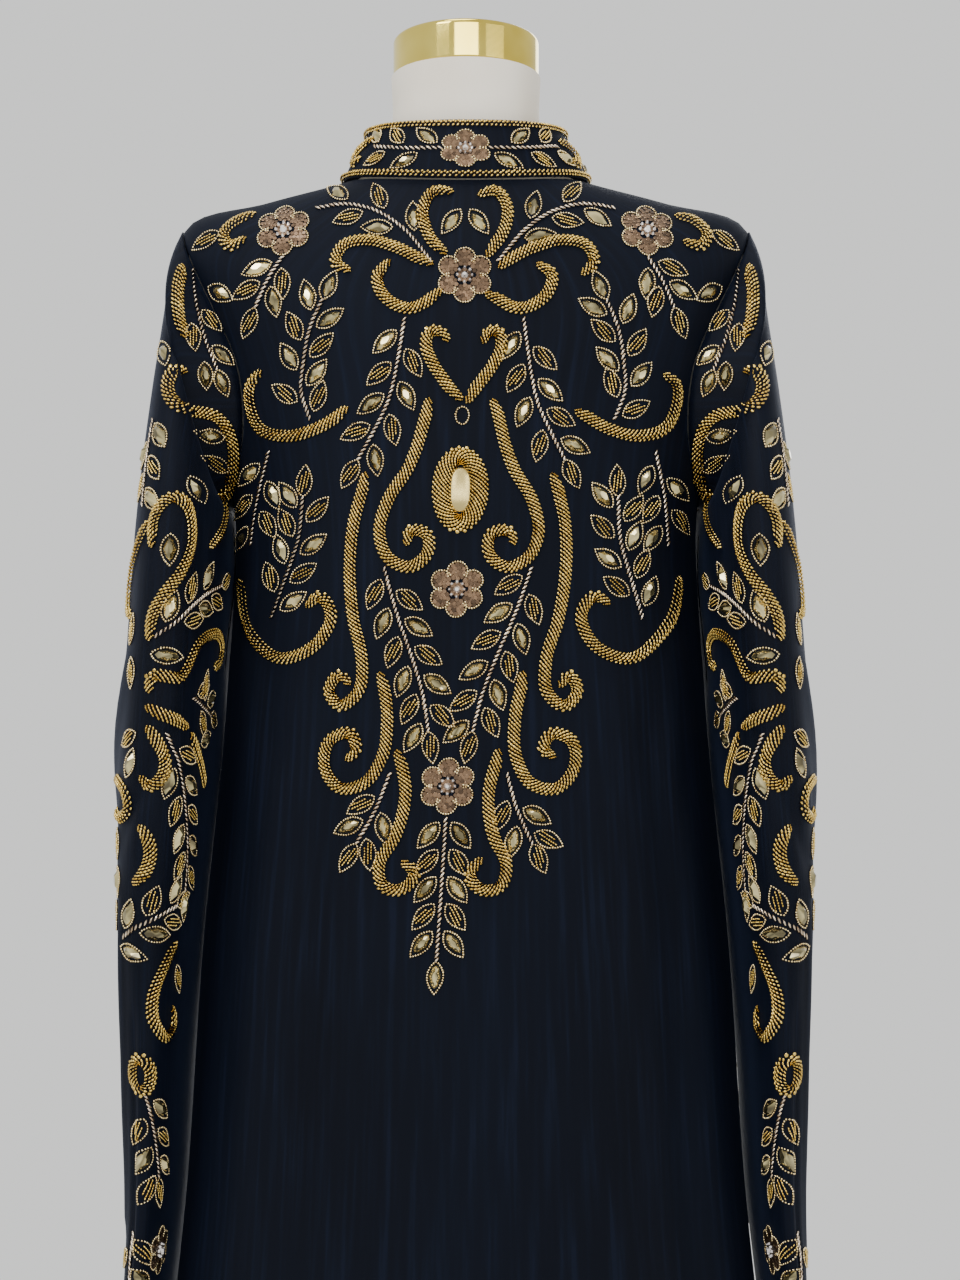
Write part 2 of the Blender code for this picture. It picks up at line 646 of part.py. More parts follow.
def mirrored(points, side):
    """Points with their distance across turned to the other side."""
    return [(side * point[0], *point[1:]) for point in points]


def lay_motifs(work, scrolls, sprays, flowers, side, leaf_size=1.0):
    """Works a panel's scrolls, sprays and flowers on one side of its centre line."""
    for scroll in scrolls:
        path = smooth_path(np.array(mirrored(scroll.points, side), float) * MM, ROPE_STEP)
        work.rope(path)
    for spray in sprays:
        turned = spray._replace(stem=mirrored(spray.stem, side))
        for base, heading in spray_leaves(turned):
            work.leaf(base, heading, leaf_size)
    for flower in flowers:
        work.flower((side * flower.across * MM, flower.down * MM), flower.radius * MM)


# Meshing a panel as a wall

def inside_outline(outline, point):
    """Whether a flat point lies inside a closed outline."""
    x, y = point
    hit = False
    for (x0, y0), (x1, y1) in zip(outline, outline[1:] + outline[:1]):
        if (y0 > y) != (y1 > y) and x < x0 + (y - y0) * (x1 - x0) / (y1 - y0):
            hit = not hit
    return hit


def triangulate(outline, loose, forms, form_edges):
    """Triangles over an outline, with loose points and raised forms' edges kept.

    Returns the flat points, their heights, the triangles, and where the outline's points went.
    """
    points = [Vector(p) for p in outline] + [Vector(p) for p in loose]
    points += [Vector(p[:2]) for p in forms]
    heights = [0.0] * (len(outline) + len(loose)) + [p[2] for p in forms]
    first = len(outline) + len(loose)
    edges = [(a + first, b + first) for a, b in form_edges]
    face = [list(range(len(outline)))]
    flat, _, faces, origins, _, _ = delaunay_2d_cdt(points, edges, face, 1, 1e-6)
    high = [max((heights[i] for i in origin), default=0.0) for origin in origins]
    where = {}
    for index, origin in enumerate(origins):
        for i in origin:
            if i < len(outline):
                where[i] = index
    return np.array([tuple(p) for p in flat]), np.array(high), faces, [where[i] for i in range(len(outline))]


def near_any(point, points, reach):
    """Whether a flat point is within reach of any of the given points."""
    if len(points) == 0:
        return False
    return bool(np.min(np.hypot(points[:, 0] - point[0], points[:, 1] - point[1])) < reach)


def far_from_edge(outline, point, reach):
    """Whether a flat point keeps clear of every side of an outline."""
    start = np.array(outline)
    stop = np.roll(start, -1, axis=0)
    along = stop - start
    share = np.clip(((point - start) * along).sum(1) / (along**2).sum(1), 0, 1)
    gap = np.linalg.norm(start + along * share[:, None] - point, axis=1)
    return gap.min() > reach


def build_panel(name, finish, surface, normal, outline, loose, work, metric, open_sides=()):
    """A cloth wall with a plain inside and a worked outside.

    surface and normal read real places from (u, v); the outline and points are given in flat
    metres, u times metric. open_sides lists outline edges that close on each other, as on a tube.
    """
    forms, form_edges = work.within(outline)
    loose = [p for p in loose if inside_outline(outline, p) and far_from_edge(outline, np.array(p), GRID_CLEAR)]
    worked = np.array([p[:2] for p in forms]).reshape(-1, 2)
    outer_loose = [p for p in loose if not near_any(p, worked, CLEAR_OF_BEADS)]
    builder = bmesh.new()
    loops = []
    for layer in ("outside", "inside"):
        if layer == "outside":
            flat, high, faces, edge = triangulate(outline, outer_loose, forms, form_edges)
        else:
            flat, high, faces, edge = triangulate(outline, loose, [], [])
        u, v = flat[:, 0] / metric, flat[:, 1]
        places = surface(u, v)
        if layer == "outside":
            places = places + normal(u, v) * (CLOTH + high)[:, None]
        verts = [builder.verts.new(Vector(p)) for p in places]
        for face in faces:
            corners = [verts[i] for i in face]
            if layer == "inside":
                corners.reverse()
            builder.faces.new(corners)
        loops.append([verts[i] for i in edge])
    outside, inside = loops
    count = len(outline)
    for i in range(count):
        if i in open_sides:
            continue
        j = (i + 1) % count
        builder.faces.new((outside[j], outside[i], inside[i], inside[j]))
    bmesh.ops.remove_doubles(builder, verts=builder.verts, dist=MERGE)
    bmesh.ops.triangulate(builder, faces=builder.faces)
    bmesh.ops.recalc_face_normals(builder, faces=builder.faces)
    return finish_mesh(name, finish, builder)


def finish_mesh(name, finish, builder):
    """Turns a bmesh into a named, smooth-shaded object with its finish."""
    mesh = bpy.data.meshes.new(name)
    builder.to_mesh(mesh)
    builder.free()
    mesh.shade_smooth()
    mesh.set_sharp_from_angle(angle=math.radians(50))
    obj = bpy.data.objects.new(name, mesh)
    bpy.context.collection.objects.link(obj)
    mesh.materials.append(material(finish))
    return obj


def material(name):
    """The material of a finish, made once."""
    found = bpy.data.materials.get(name)
    if found:
        return found
    finish = FINISHES[name]
    made = bpy.data.materials.new(name)
    made.use_nodes = True
    shader = made.node_tree.nodes["Principled BSDF"]
    shader.inputs["Base Color"].default_value = (*finish.colour, 1.0)
    shader.inputs["Roughness"].default_value = finish.roughness
    shader.inputs["Metallic"].default_value = finish.metallic
    return made


# Panels of the body

TORSO_COLUMNS = 8
SKIRT_COLUMNS = 13
TORSO_END_V = 0.56
BODY_METRIC = 0.21
TORSO_STEPS = (0.0, 0.022, 0.044, 0.068, 0.092, 0.123, 0.155, 0.186, 0.217,
               0.250, 0.290, 0.330, 0.370, 0.410, 0.450, 0.490, 0.530)
SKIRT_STEPS = 9


def seam_share(v):
    """Half a seam's gap, as a share of the quarter round at a height."""
    ring = through(BODY_KNOTS, row_values(BODY_ROWS), np.asarray(v, float))
    return SEAM / 2 / (math.pi / 2 * ring[..., 4])


def skirt_heights():
    """Places down the skirt where the side seams have points."""
    return np.linspace(UNDERARM_V, BODY_LENGTH, 18)[1:-1]


def side_line(side, quarter_start):
    """Outline down the shoulder seam, round the armhole and down the side seam, as (u, v).

    quarter_start is 0 for the back, whose edge is just before the side line, and 2 for a front.
    """
    toward = -1 if quarter_start == 0 else 1
    rear = 1 if quarter_start == 0 else -1
    line = []
    for v in TORSO_STEPS[:4]:
        line.append((1 + toward * float(seam_share(v)), v))
    line.append((1 + toward * float(seam_share(SHOULDER_V)), SHOULDER_V))
    for step in range(1, ARMHOLE_STEPS):
        angle = rear * math.pi * step / ARMHOLE_STEPS
        u, v = armhole(np.array(angle), 1)
        line.append((float(u), float(v)))
    line.append((1 + toward * float(seam_share(UNDERARM_V)), UNDERARM_V))
    for v in skirt_heights():
        line.append((1 + toward * float(seam_share(v)), float(v)))
    line.append((1 + toward * float(seam_share(BODY_LENGTH)), BODY_LENGTH))
    return [(side * u, v) for u, v in line]


def body_loose(u_low, u_high):
    """Plain grid points of a body panel, finer round the skirt."""
    points = []
    for v in TORSO_STEPS[1:]:
        for column in range(-2 * TORSO_COLUMNS, 2 * TORSO_COLUMNS + 1):
            points.append((column / TORSO_COLUMNS, v))
    for v in np.linspace(TORSO_END_V, BODY_LENGTH, SKIRT_STEPS)[:-1]:
        for column in range(-2 * SKIRT_COLUMNS, 2 * SKIRT_COLUMNS + 1):
            points.append((column / SKIRT_COLUMNS, float(v)))
    return [(u * BODY_METRIC, v) for u, v in points if u_low < u < u_high]


def place_on_body(work, finder, guess_u, lean=0.0):
    """Turns a panel's beadwork from across and down into flat body places."""
    table = np.array(work.points, float).reshape(-1, 3)
    across = table[:, 0] - lean * table[:, 1] ** 2
    height = BODY_ROWS[0].z_back - table[:, 1]
    u, v = finder.find(across, height, guess_u(across), table[:, 1])
    work.points = [(a * BODY_METRIC, b, h) for a, b, h in zip(u, v, table[:, 2])]


def make_back():
    """The back panel with its beadwork."""
    right = side_line(1, 0)
    left = side_line(-1, 0)
    columns = [i / TORSO_COLUMNS for i in range(-TORSO_COLUMNS + 1, TORSO_COLUMNS)]
    hem = [i / SKIRT_COLUMNS for i in range(SKIRT_COLUMNS - 1, -SKIRT_COLUMNS, -1)]
    outline = [(u, 0.0) for u in columns] + right + [(u, BODY_LENGTH) for u in hem] + left[::-1]
    outline = [(u * BODY_METRIC, v) for u, v in outline]
    work = Beadwork()
    for side in (-1, 1):
        lay_motifs(work, BACK_SCROLLS, BACK_SPRAYS, BACK_FLOWERS, side)
        for x0, y0, x1, y1 in CROWN_LEAVES:
            work.leaf(np.array([side * x0, y0]) * MM, math.atan2(y1 - y0, side * (x1 - x0)), SMALL_LEAF)
    lay_motifs(work, (), (CENTRE_SPRAY,), CENTRE_FLOWERS, 1)
    turn = np.linspace(0, 2 * math.pi, PENDANT_STEPS, endpoint=False)
    ring = np.stack([PENDANT_RING[0] * np.cos(turn), PENDANT_DOWN + PENDANT_RING[1] * np.sin(turn)], axis=1)
    work.rope(ring * MM, PENDANT_ROPE, PENDANT_HIGH, closed=True)
    work.oval((0.0, PENDANT_DOWN * MM), np.array(PENDANT_MIRROR) * MM, PENDANT_MIRROR_HIGH)
    place_on_body(work, body_finder(-1.0, 1.0), lambda across: across / BACK_GUESS, LEAN)
    return build_panel("back", "cloth", body_point, body_normal, outline, body_loose(-1, 1),
                       work, BODY_METRIC)


def make_front(name, side):
    """A front panel, open at centre front, with the sprays that come over the shoulder."""
    seam = side_line(1, 2)
    torso = [i / TORSO_COLUMNS for i in range(TORSO_COLUMNS + 1, 2 * TORSO_COLUMNS)]
    skirt = [i / SKIRT_COLUMNS for i in range(2 * SKIRT_COLUMNS - 1, SKIRT_COLUMNS, -1)]
    down = list(TORSO_STEPS[1:]) + list(np.linspace(TORSO_END_V, BODY_LENGTH, SKIRT_STEPS)[:-1])
    edge = [(front_edge(0.0), 0.0)] + [(front_edge(v), float(v)) for v in down]
    edge.append((front_edge(BODY_LENGTH), BODY_LENGTH))
    outline = [(u, 0.0) for u in torso] + edge
    outline += [(u, BODY_LENGTH) for u in skirt[1:]] + seam[::-1]
    outline = [(side * u * BODY_METRIC, v) for u, v in outline]
    work = Beadwork()
    lay_motifs(work, (), FRONT_SPRAYS, FRONT_FLOWERS, side)
    low, high = sorted((side * 1.0, side * 2.0))
    place_on_body(work, body_finder(low, high), lambda across: side * (2 - np.abs(across) / FRONT_GUESS))
    return build_panel(name, "cloth", body_point, body_normal, outline, body_loose(low, high),
                       work, BODY_METRIC)


def front_edge(v):
    """The front edge's place round the body at a distance down."""
    gap = OPEN_NECK + (OPEN_HEM - OPEN_NECK) * v / BODY_LENGTH
    ring = through(BODY_KNOTS, row_values(BODY_ROWS), np.asarray(v, float))
    return 2 - float(gap / (math.pi / 2 * ring[3] * (1 + CORNER)))


# Sleeves

SLEEVE_METRIC = 0.075


def sleeve_work(surface):
    """The beadwork of a sleeve's rear half, and the same mirrored on its front half."""
    whole = Beadwork()
    for rear in (1, -1):
        run = Beadwork()
        lay_motifs(run, SLEEVE_SCROLLS, SLEEVE_SPRAYS, SLEEVE_FLOWERS, 1)
        turn = np.linspace(0, 2 * math.pi, RING_STEPS, endpoint=False)
        ring = np.stack([RING_AT[0] + RING_SIZE[0] * np.cos(turn), RING_AT[1] + RING_SIZE[1] * np.sin(turn)],
                        axis=1)
        run.rope(ring * MM, closed=True)
        crown = Beadwork()
        lay_motifs(crown, (), (CROWN_SPRAY,), (), 1)
        for work, by_sight in ((run, False), (crown, True)):
            finder = sleeve_finder(surface, rear, by_sight)
            table = np.array(work.points, float)
            guess_v = np.clip(SLEEVE_ROWS[0].outer_z - table[:, 1], 0.02, SLEEVE_LENGTH)
            angle, v = finder.find(table[:, 0], table[:, 1], rear * math.pi / 2, guess_v)
            work.points = [(a * SLEEVE_METRIC, b, h) for a, b, h in zip(angle, v, table[:, 2])]
            whole.join(work)
    return whole


def make_sleeve(name, side):
    """A sleeve, a worked tube from the armhole to the cuff."""
    surface = sleeve_surface(side)

    def normal(angle, v):
        inner = np.clip(v, SLOPE_STEP, SLEEVE_LENGTH - SLOPE_STEP)
        return -side * normals(surface, angle, inner, SLEEVE_TURN, SLOPE_STEP)

    start = np.linspace(-math.pi, math.pi, 2 * ARMHOLE_STEPS + 1)
    cuff = np.linspace(math.pi, -math.pi, SLEEVE_COLUMNS + 1)
    rows = np.linspace(0, SLEEVE_LENGTH, round(SLEEVE_LENGTH / SLEEVE_STEP) + 1)[1:-1]
    outline = [(a, 0.0) for a in start] + [(math.pi, v) for v in rows]
    seam_right = range(len(start) - 1, len(start) + len(rows))
    outline += [(a, SLEEVE_LENGTH) for a in cuff] + [(-math.pi, v) for v in rows[::-1]]
    seam_left = range(len(start) + len(rows) + len(cuff) - 1, len(outline))
    outline = [(float(a) * SLEEVE_METRIC, float(v)) for a, v in outline]
    angles = np.linspace(-math.pi, math.pi, SLEEVE_COLUMNS + 1)[1:-1]
    loose = [(float(a) * SLEEVE_METRIC, float(v)) for v in rows for a in angles]
    return build_panel(name, "cloth", surface, normal, outline, loose, sleeve_work(surface),
                       SLEEVE_METRIC, set(seam_right) | set(seam_left))


# Collar

COLLAR_METRIC = 0.101
COLLAR_STEPS = 40
COLLAR_OPEN = 0.055


def make_collar():
    """The standing collar with its bead ropes, flower, leaves and scrolls."""
    end = 2 - COLLAR_OPEN
    crest, foot = COLLAR_RIDGE_IN, COLLAR_RIDGE_IN + COLLAR_RIDGE_HALF
    heights = (0.0, crest, foot, COLLAR_FLAT_HEIGHT / 2, COLLAR_FLAT_HEIGHT - foot,
               COLLAR_FLAT_HEIGHT - crest, COLLAR_FLAT_HEIGHT)
    columns = np.linspace(-end, end, COLLAR_STEPS + 1)
    outline = [(u, 0.0) for u in columns] + [(end, h) for h in heights[1:-1]]
    outline += [(u, COLLAR_FLAT_HEIGHT) for u in columns[::-1]] + [(-end, h) for h in heights[-2:0:-1]]
    outline = [(float(u) * COLLAR_METRIC, float(v)) for u, v in outline]
    work = Beadwork()
    for side in (-1, 1):
        lay_motifs(work, COLLAR_SCROLLS, COLLAR_SPRAYS, (), side, COLLAR_LEAF)
    lay_motifs(work, (), (), (COLLAR_FLOWER,), 1)
    inner = np.linspace(COLLAR_RIDGE_END - end, end - COLLAR_RIDGE_END, COLLAR_STEPS)
    for low in (True, False):
        for row, high in ((crest, COLLAR_RIDGE_HIGH), (foot, 0.0)):
            v = COLLAR_FLAT_HEIGHT - row if low else row
            work.add([(float(u) * COLLAR_METRIC, v, high) for u in inner],
                     [(i, i + 1) for i in range(COLLAR_STEPS - 1)])
    loose = [(float(u) * COLLAR_METRIC, COLLAR_FLAT_HEIGHT / 2) for u in columns[1:-1]]

    def normal(u, v):
        return normals(collar_down, u, v, SLOPE_TURN, SLOPE_STEP)

    return build_panel("collar", "cloth", collar_down, normal, outline, loose, work, COLLAR_METRIC)


# Dress form and stand

def turned_body(name, finish, rings):
    """A closed body through rings of points, capped at both ends."""
    builder = bmesh.new()
    loops = [[builder.verts.new(Vector(p)) for p in ring] for ring in rings]
    count = len(loops[0])
    for upper, lower in zip(loops, loops[1:]):
        for i in range(count):
            j = (i + 1) % count
            builder.faces.new((upper[i], upper[j], lower[j], lower[i]))
    builder.faces.new(loops[0][::-1])
    builder.faces.new(loops[-1])
    bmesh.ops.triangulate(builder, faces=builder.faces)
    bmesh.ops.recalc_face_normals(builder, faces=builder.faces)
    return finish_mesh(name, finish, builder)


def form_rows():
    """Rings of the dress form from the neck's top down."""
    rows = list(FORM_NECK)
    for item in FORM_GAPS:
        row = BODY_ROWS[item.row]
        rows.append(BodyRow(row.name, row.z_back - item.gap, row.z_side - item.gap, row.z_front - item.gap,
                            row.half_width - item.gap, row.back - item.gap, row.front - item.gap))
    return rows + list(FORM_BODY)


def make_form():
    """Torso and neck of the dress form, one smooth closed body."""
    rows = form_rows()
    knots = down_the_back(rows)
    neck = knots[len(FORM_NECK)]
    places = list(np.linspace(0, neck, 7)[:-1]) + [neck + v for v in TORSO_STEPS[:9]]
    places += list(np.linspace(places[-1], knots[-1], 12)[1:])
    around = np.array([i / TORSO_COLUMNS for i in range(4 * TORSO_COLUMNS)])
    table = row_values(rows)
    rings = []
    for place in places:
        ring = through(knots, table, np.array(place)) + np.zeros((len(around), 6))
        corner = CORNER * min(1.0, place / neck)
        rings.append(ring_point(ring, np.where(around > 2, around - 4, around), corner))
    rings[0] = tilted_ring(FORM_NECK[0].half_width, 0.0)
    return turned_body("form_torso", "form_cover", rings)


def tilted_ring(radius, lift):
    """A ring on the neck's tilted top, lifted from it."""
    top = FORM_NECK[0]
    turn = np.arange(TURN_SIDES) * 2 * math.pi / TURN_SIDES
    slope = (top.z_back - top.z_front) / (top.back + top.front)
    x, y = radius * np.sin(turn), -radius * np.cos(turn)
    return np.stack([x, y, top.z_side - slope * y + lift], axis=1)


def make_cap():
    """The polished cap on the neck, with a rounded upper edge."""
    rings = [tilted_ring(CAP_RADIUS, CAP_GAP)]
    for step in range(4):
        turn = math.pi / 2 * step / 3
        rings.append(tilted_ring(CAP_RADIUS - CAP_EDGE * (1 - math.cos(turn)),
                                 CAP_GAP + CAP_HIGH - CAP_EDGE * (1 - math.sin(turn))))
    return turned_body("neck_cap", "gold_cap", rings[::-1])


def round_ring(radius, height):
    """A level ring about the upright axis."""
    turn = np.arange(TURN_SIDES) * 2 * math.pi / TURN_SIDES
    return np.stack([radius * np.sin(turn), -radius * np.cos(turn), np.full(TURN_SIDES, height)], axis=1)


def make_stand():
    """The stand's round base and its pole, butted under the form."""
    base = [round_ring(BASE_RADIUS - BASE_EDGE, BASE_THICK), round_ring(BASE_RADIUS, BASE_THICK - BASE_EDGE),
            round_ring(BASE_RADIUS, 0.0)]
    turned_body("stand_base", "stand_metal", base)
    pole = [round_ring(POLE_RADIUS, FORM_FOOT_Z - CAP_GAP), round_ring(POLE_RADIUS, BASE_THICK + CAP_GAP)]
    turned_body("stand_pole", "stand_metal", pole)


def main():
    """Clears the scene and makes every piece."""
    for old in list(bpy.data.objects):
        bpy.data.objects.remove(old, do_unlink=True)
    make_back()
    make_front("front_left", -1)
    make_front("front_right", 1)
    make_sleeve("sleeve_left", -1)
    make_sleeve("sleeve_right", 1)
    make_collar()
    make_form()
    make_cap()
    make_stand()


main()
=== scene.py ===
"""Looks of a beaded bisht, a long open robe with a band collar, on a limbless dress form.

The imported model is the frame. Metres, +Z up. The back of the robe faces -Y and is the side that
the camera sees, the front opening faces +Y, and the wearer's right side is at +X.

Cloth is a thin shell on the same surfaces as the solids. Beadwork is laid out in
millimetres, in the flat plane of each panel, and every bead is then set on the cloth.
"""
import logging
import math
from abc import ABC, abstractmethod
from dataclasses import dataclass, field, replace
from enum import Enum
from typing import Callable, Optional, Sequence

import bmesh
import bpy
import numpy as np
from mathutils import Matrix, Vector


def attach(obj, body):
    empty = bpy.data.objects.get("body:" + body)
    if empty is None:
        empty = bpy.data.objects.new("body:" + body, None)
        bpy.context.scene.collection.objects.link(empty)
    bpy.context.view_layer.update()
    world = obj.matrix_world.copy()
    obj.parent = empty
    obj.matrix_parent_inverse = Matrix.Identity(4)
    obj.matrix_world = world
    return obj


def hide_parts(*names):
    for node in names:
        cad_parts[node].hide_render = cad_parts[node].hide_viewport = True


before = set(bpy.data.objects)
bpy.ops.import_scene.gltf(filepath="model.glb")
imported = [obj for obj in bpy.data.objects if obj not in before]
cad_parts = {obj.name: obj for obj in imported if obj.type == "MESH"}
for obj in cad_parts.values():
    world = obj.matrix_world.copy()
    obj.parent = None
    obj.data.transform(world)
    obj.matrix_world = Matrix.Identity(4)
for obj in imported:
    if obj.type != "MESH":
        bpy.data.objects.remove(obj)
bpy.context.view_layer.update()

log = logging.getLogger("bisht")
Spot = tuple[float, float]
MM = 0.001
TINY = 1e-9


class Side(Enum):
    """The wearer's side, as the sign of x."""
    LEFT = -1
    RIGHT = 1

    @property
    def word(self) -> str:
        """The side's name, as the nodes have it."""
        return self.name.lower()


# Surfaces of the robe

CREASE_ENDS = 0.55
CREASE_MIDDLE = 0.45
CORNER = 0.10
LAP = 0.0019
SEAM = 0.0004


@dataclass(frozen=True)
class Ring:
    """An oval ring round the body: its height behind, at the side and in front, and its depths."""
    name: str
    z_back: float
    z_side: float
    z_front: float
    half_width: float
    back: float
    front: float

    def values(self) -> tuple[float, ...]:
        """The ring's numbers, without its name."""
        return (self.z_back, self.z_side, self.z_front, self.half_width, self.back, self.front)


@dataclass(frozen=True)
class SleeveRing:
    """A ring of the hanging sleeve, from its outer line to its inner line."""
    name: str
    outer_x: float
    outer_z: float
    inner_x: float
    inner_z: float
    half_depth: float
    mid_y: float


@dataclass(frozen=True)
class Fold:
    """An upright fold of the skirt. u is 0 at centre back, 1 at the side and 2 at centre front."""
    u: float
    half_width: float
    depth: float


@dataclass(frozen=True)
class Crease:
    """A soft ridge, or a trough where height is below 0, along a line of the flat cloth in metres."""
    start: Spot
    stop: Spot
    half: float
    height: float

    def push(self, x: np.ndarray, y: np.ndarray) -> np.ndarray:
        """How far the crease moves the cloth out.

        Args:
            x: Distance round the piece, in flat metres.
            y: Distance down the piece.
        Returns:
            The push at each place, in metres.
        """
        dx, dy = self.stop[0] - self.start[0], self.stop[1] - self.start[1]
        along = ((x - self.start[0]) * dx + (y - self.start[1]) * dy) / (dx * dx + dy * dy)
        held = np.clip(along, 0, 1)
        off = np.hypot(x - self.start[0] - held * dx, y - self.start[1] - held * dy)
        swell = CREASE_ENDS + CREASE_MIDDLE * np.sin(math.pi * held)
        return self.height * swell * np.exp(-((off / self.half) ** 2))


@dataclass(frozen=True)
class Curve:
    """Smooth curve through rows of values at rising knots."""
    knots: np.ndarray
    values: np.ndarray

    def slopes(self) -> np.ndarray:
        """The curve's slope at each knot.

        Returns:
            A row of slopes for each knot.
        """
        steps = np.diff(self.knots)
        slopes = np.diff(self.values, axis=0) / steps[:, None]
        before, after = steps[:-1, None], steps[1:, None]
        middle = (slopes[:-1] * after + slopes[1:] * before) / (before + after)
        return np.concatenate([slopes[:1], middle, slopes[-1:]])

    @staticmethod
    def blend(t: np.ndarray, span: np.ndarray, ends: Sequence[np.ndarray]) -> np.ndarray:
        """Cubic between two knots.

        Args:
            t: Share of the way from one knot to the next.
            span: Distance between the knots.
            ends: First value, last value, first slope and last slope.
        Returns:
            The values on the way.
        """
        first, last, out, into = ends
        return (first * (2 * t**3 - 3 * t**2 + 1) + out * span * (t**3 - 2 * t**2 + t)
                + last * (3 * t**2 - 2 * t**3) + into * span * (t**3 - t**2))

    def row_of(self, at: np.ndarray) -> np.ndarray:
        """Number of the last knot at or before each place, short of the final one."""
        return np.clip(np.searchsorted(self.knots, at, side="right") - 1, 0, len(self.knots) - 2)

    def read(self, at: np.ndarray) -> np.ndarray:
        """Rows of values at the places asked for.

        Args:
            at: Places from the first knot to the last.
        Returns:
            A row of values for each place.
        """
        at = np.clip(np.asarray(at, float), self.knots[0], self.knots[-1])
        row, slopes = self.row_of(at), self.slopes()
        span = np.diff(self.knots)[row][..., None]
        t = (at - self.knots[row])[..., None] / span
        return self.blend(t, span, (self.values[row], self.values[row + 1], slopes[row], slopes[row + 1]))

    def read_columns(self, at: np.ndarray) -> np.ndarray:
        """Each column of values, read at a place of its own.

        Args:
            at: A place for each column.
        Returns:
            A value for each column.
        """
        at = np.clip(at, self.knots[0], self.knots[-1])
        row, slopes, column = self.row_of(at), self.slopes(), np.arange(self.values.shape[1])
        span = np.diff(self.knots)[row]
        t = (at - self.knots[row]) / span
        ends = (self.values[row, column], self.values[row + 1, column],
                slopes[row, column], slopes[row + 1, column])
        return self.blend(t, span, ends)


def oval(ring: np.ndarray, u: np.ndarray) -> np.ndarray:
    """Points of an oval ring.

    Args:
        ring: The ring's six numbers, in its last axis.
        u: Place round it: 0 at centre back, 1 at the +X side and 2 at centre front.
    Returns:
        Points, with x, y and z in the last axis.
    """
    z_back, z_side, z_front, half_width, back, front = np.moveaxis(ring, -1, 0)
    turn = np.asarray(u, float) * math.pi / 2
    sine, cosine = np.sin(turn), np.cos(turn)
    depth = np.where(cosine >= 0, back, front)
    level = np.where(cosine >= 0, z_back, z_front)
    x = half_width * sine * (1 + CORNER * cosine**2)
    y = -depth * cosine * (1 + CORNER * sine**2)
    z = level + (z_side - level) * sine**2
    return np.stack(np.broadcast_arrays(x, y, z), axis=-1)


class Surface(ABC):
    """The cloth of a piece, read from flat places: u round it and v down it."""

    metric: float = 1.0
    length: float = 1.0
    turn_step: float = 0.004
    slope_step: float = 0.0015
    outward: float = 1.0
    wall: float = 0.0012
    edge: float = 0.0
    edge_thinning: float = 0.65
    creases: tuple[Crease, ...] = ()

    @abstractmethod
    def inside(self, u: np.ndarray, v: np.ndarray) -> np.ndarray:
        """Points of the cloth's inner face."""

    def normal(self, u: np.ndarray, v: np.ndarray) -> np.ndarray:
        """Outward normals.

        Args:
            u: Place round the piece.
            v: Place down it.
        Returns:
            Unit normals, with x, y and z in the last axis.
        """
        v = np.clip(v, self.slope_step, self.length - self.slope_step)
        along = self.inside(u + self.turn_step, v) - self.inside(u - self.turn_step, v)
        down = self.inside(u, v + self.slope_step) - self.inside(u, v - self.slope_step)
        normal = self.outward * np.cross(down, along)
        return normal / np.linalg.norm(normal, axis=-1, keepdims=True)

    def outside(self, u: np.ndarray, v: np.ndarray, lift: float | np.ndarray = 0.0) -> np.ndarray:
        """Points of the cloth's outer face, creases included, or above it.

        Args:
            u: Place round the piece.
            v: Place down it.
            lift: Height above the outer face.
        Returns:
            Points, with x, y and z in the last axis.
        """
        push = np.zeros(np.broadcast(u, v).shape) + self.wall + lift
        if self.edge:
            push = push - self.edge_thinning * self.wall * np.clip(1 - v / self.edge, 0, 1)
        for crease in self.creases:
            push = push + crease.push(u * self.metric, v)
        return self.inside(u, v) + self.normal(u, v) * push[..., None]


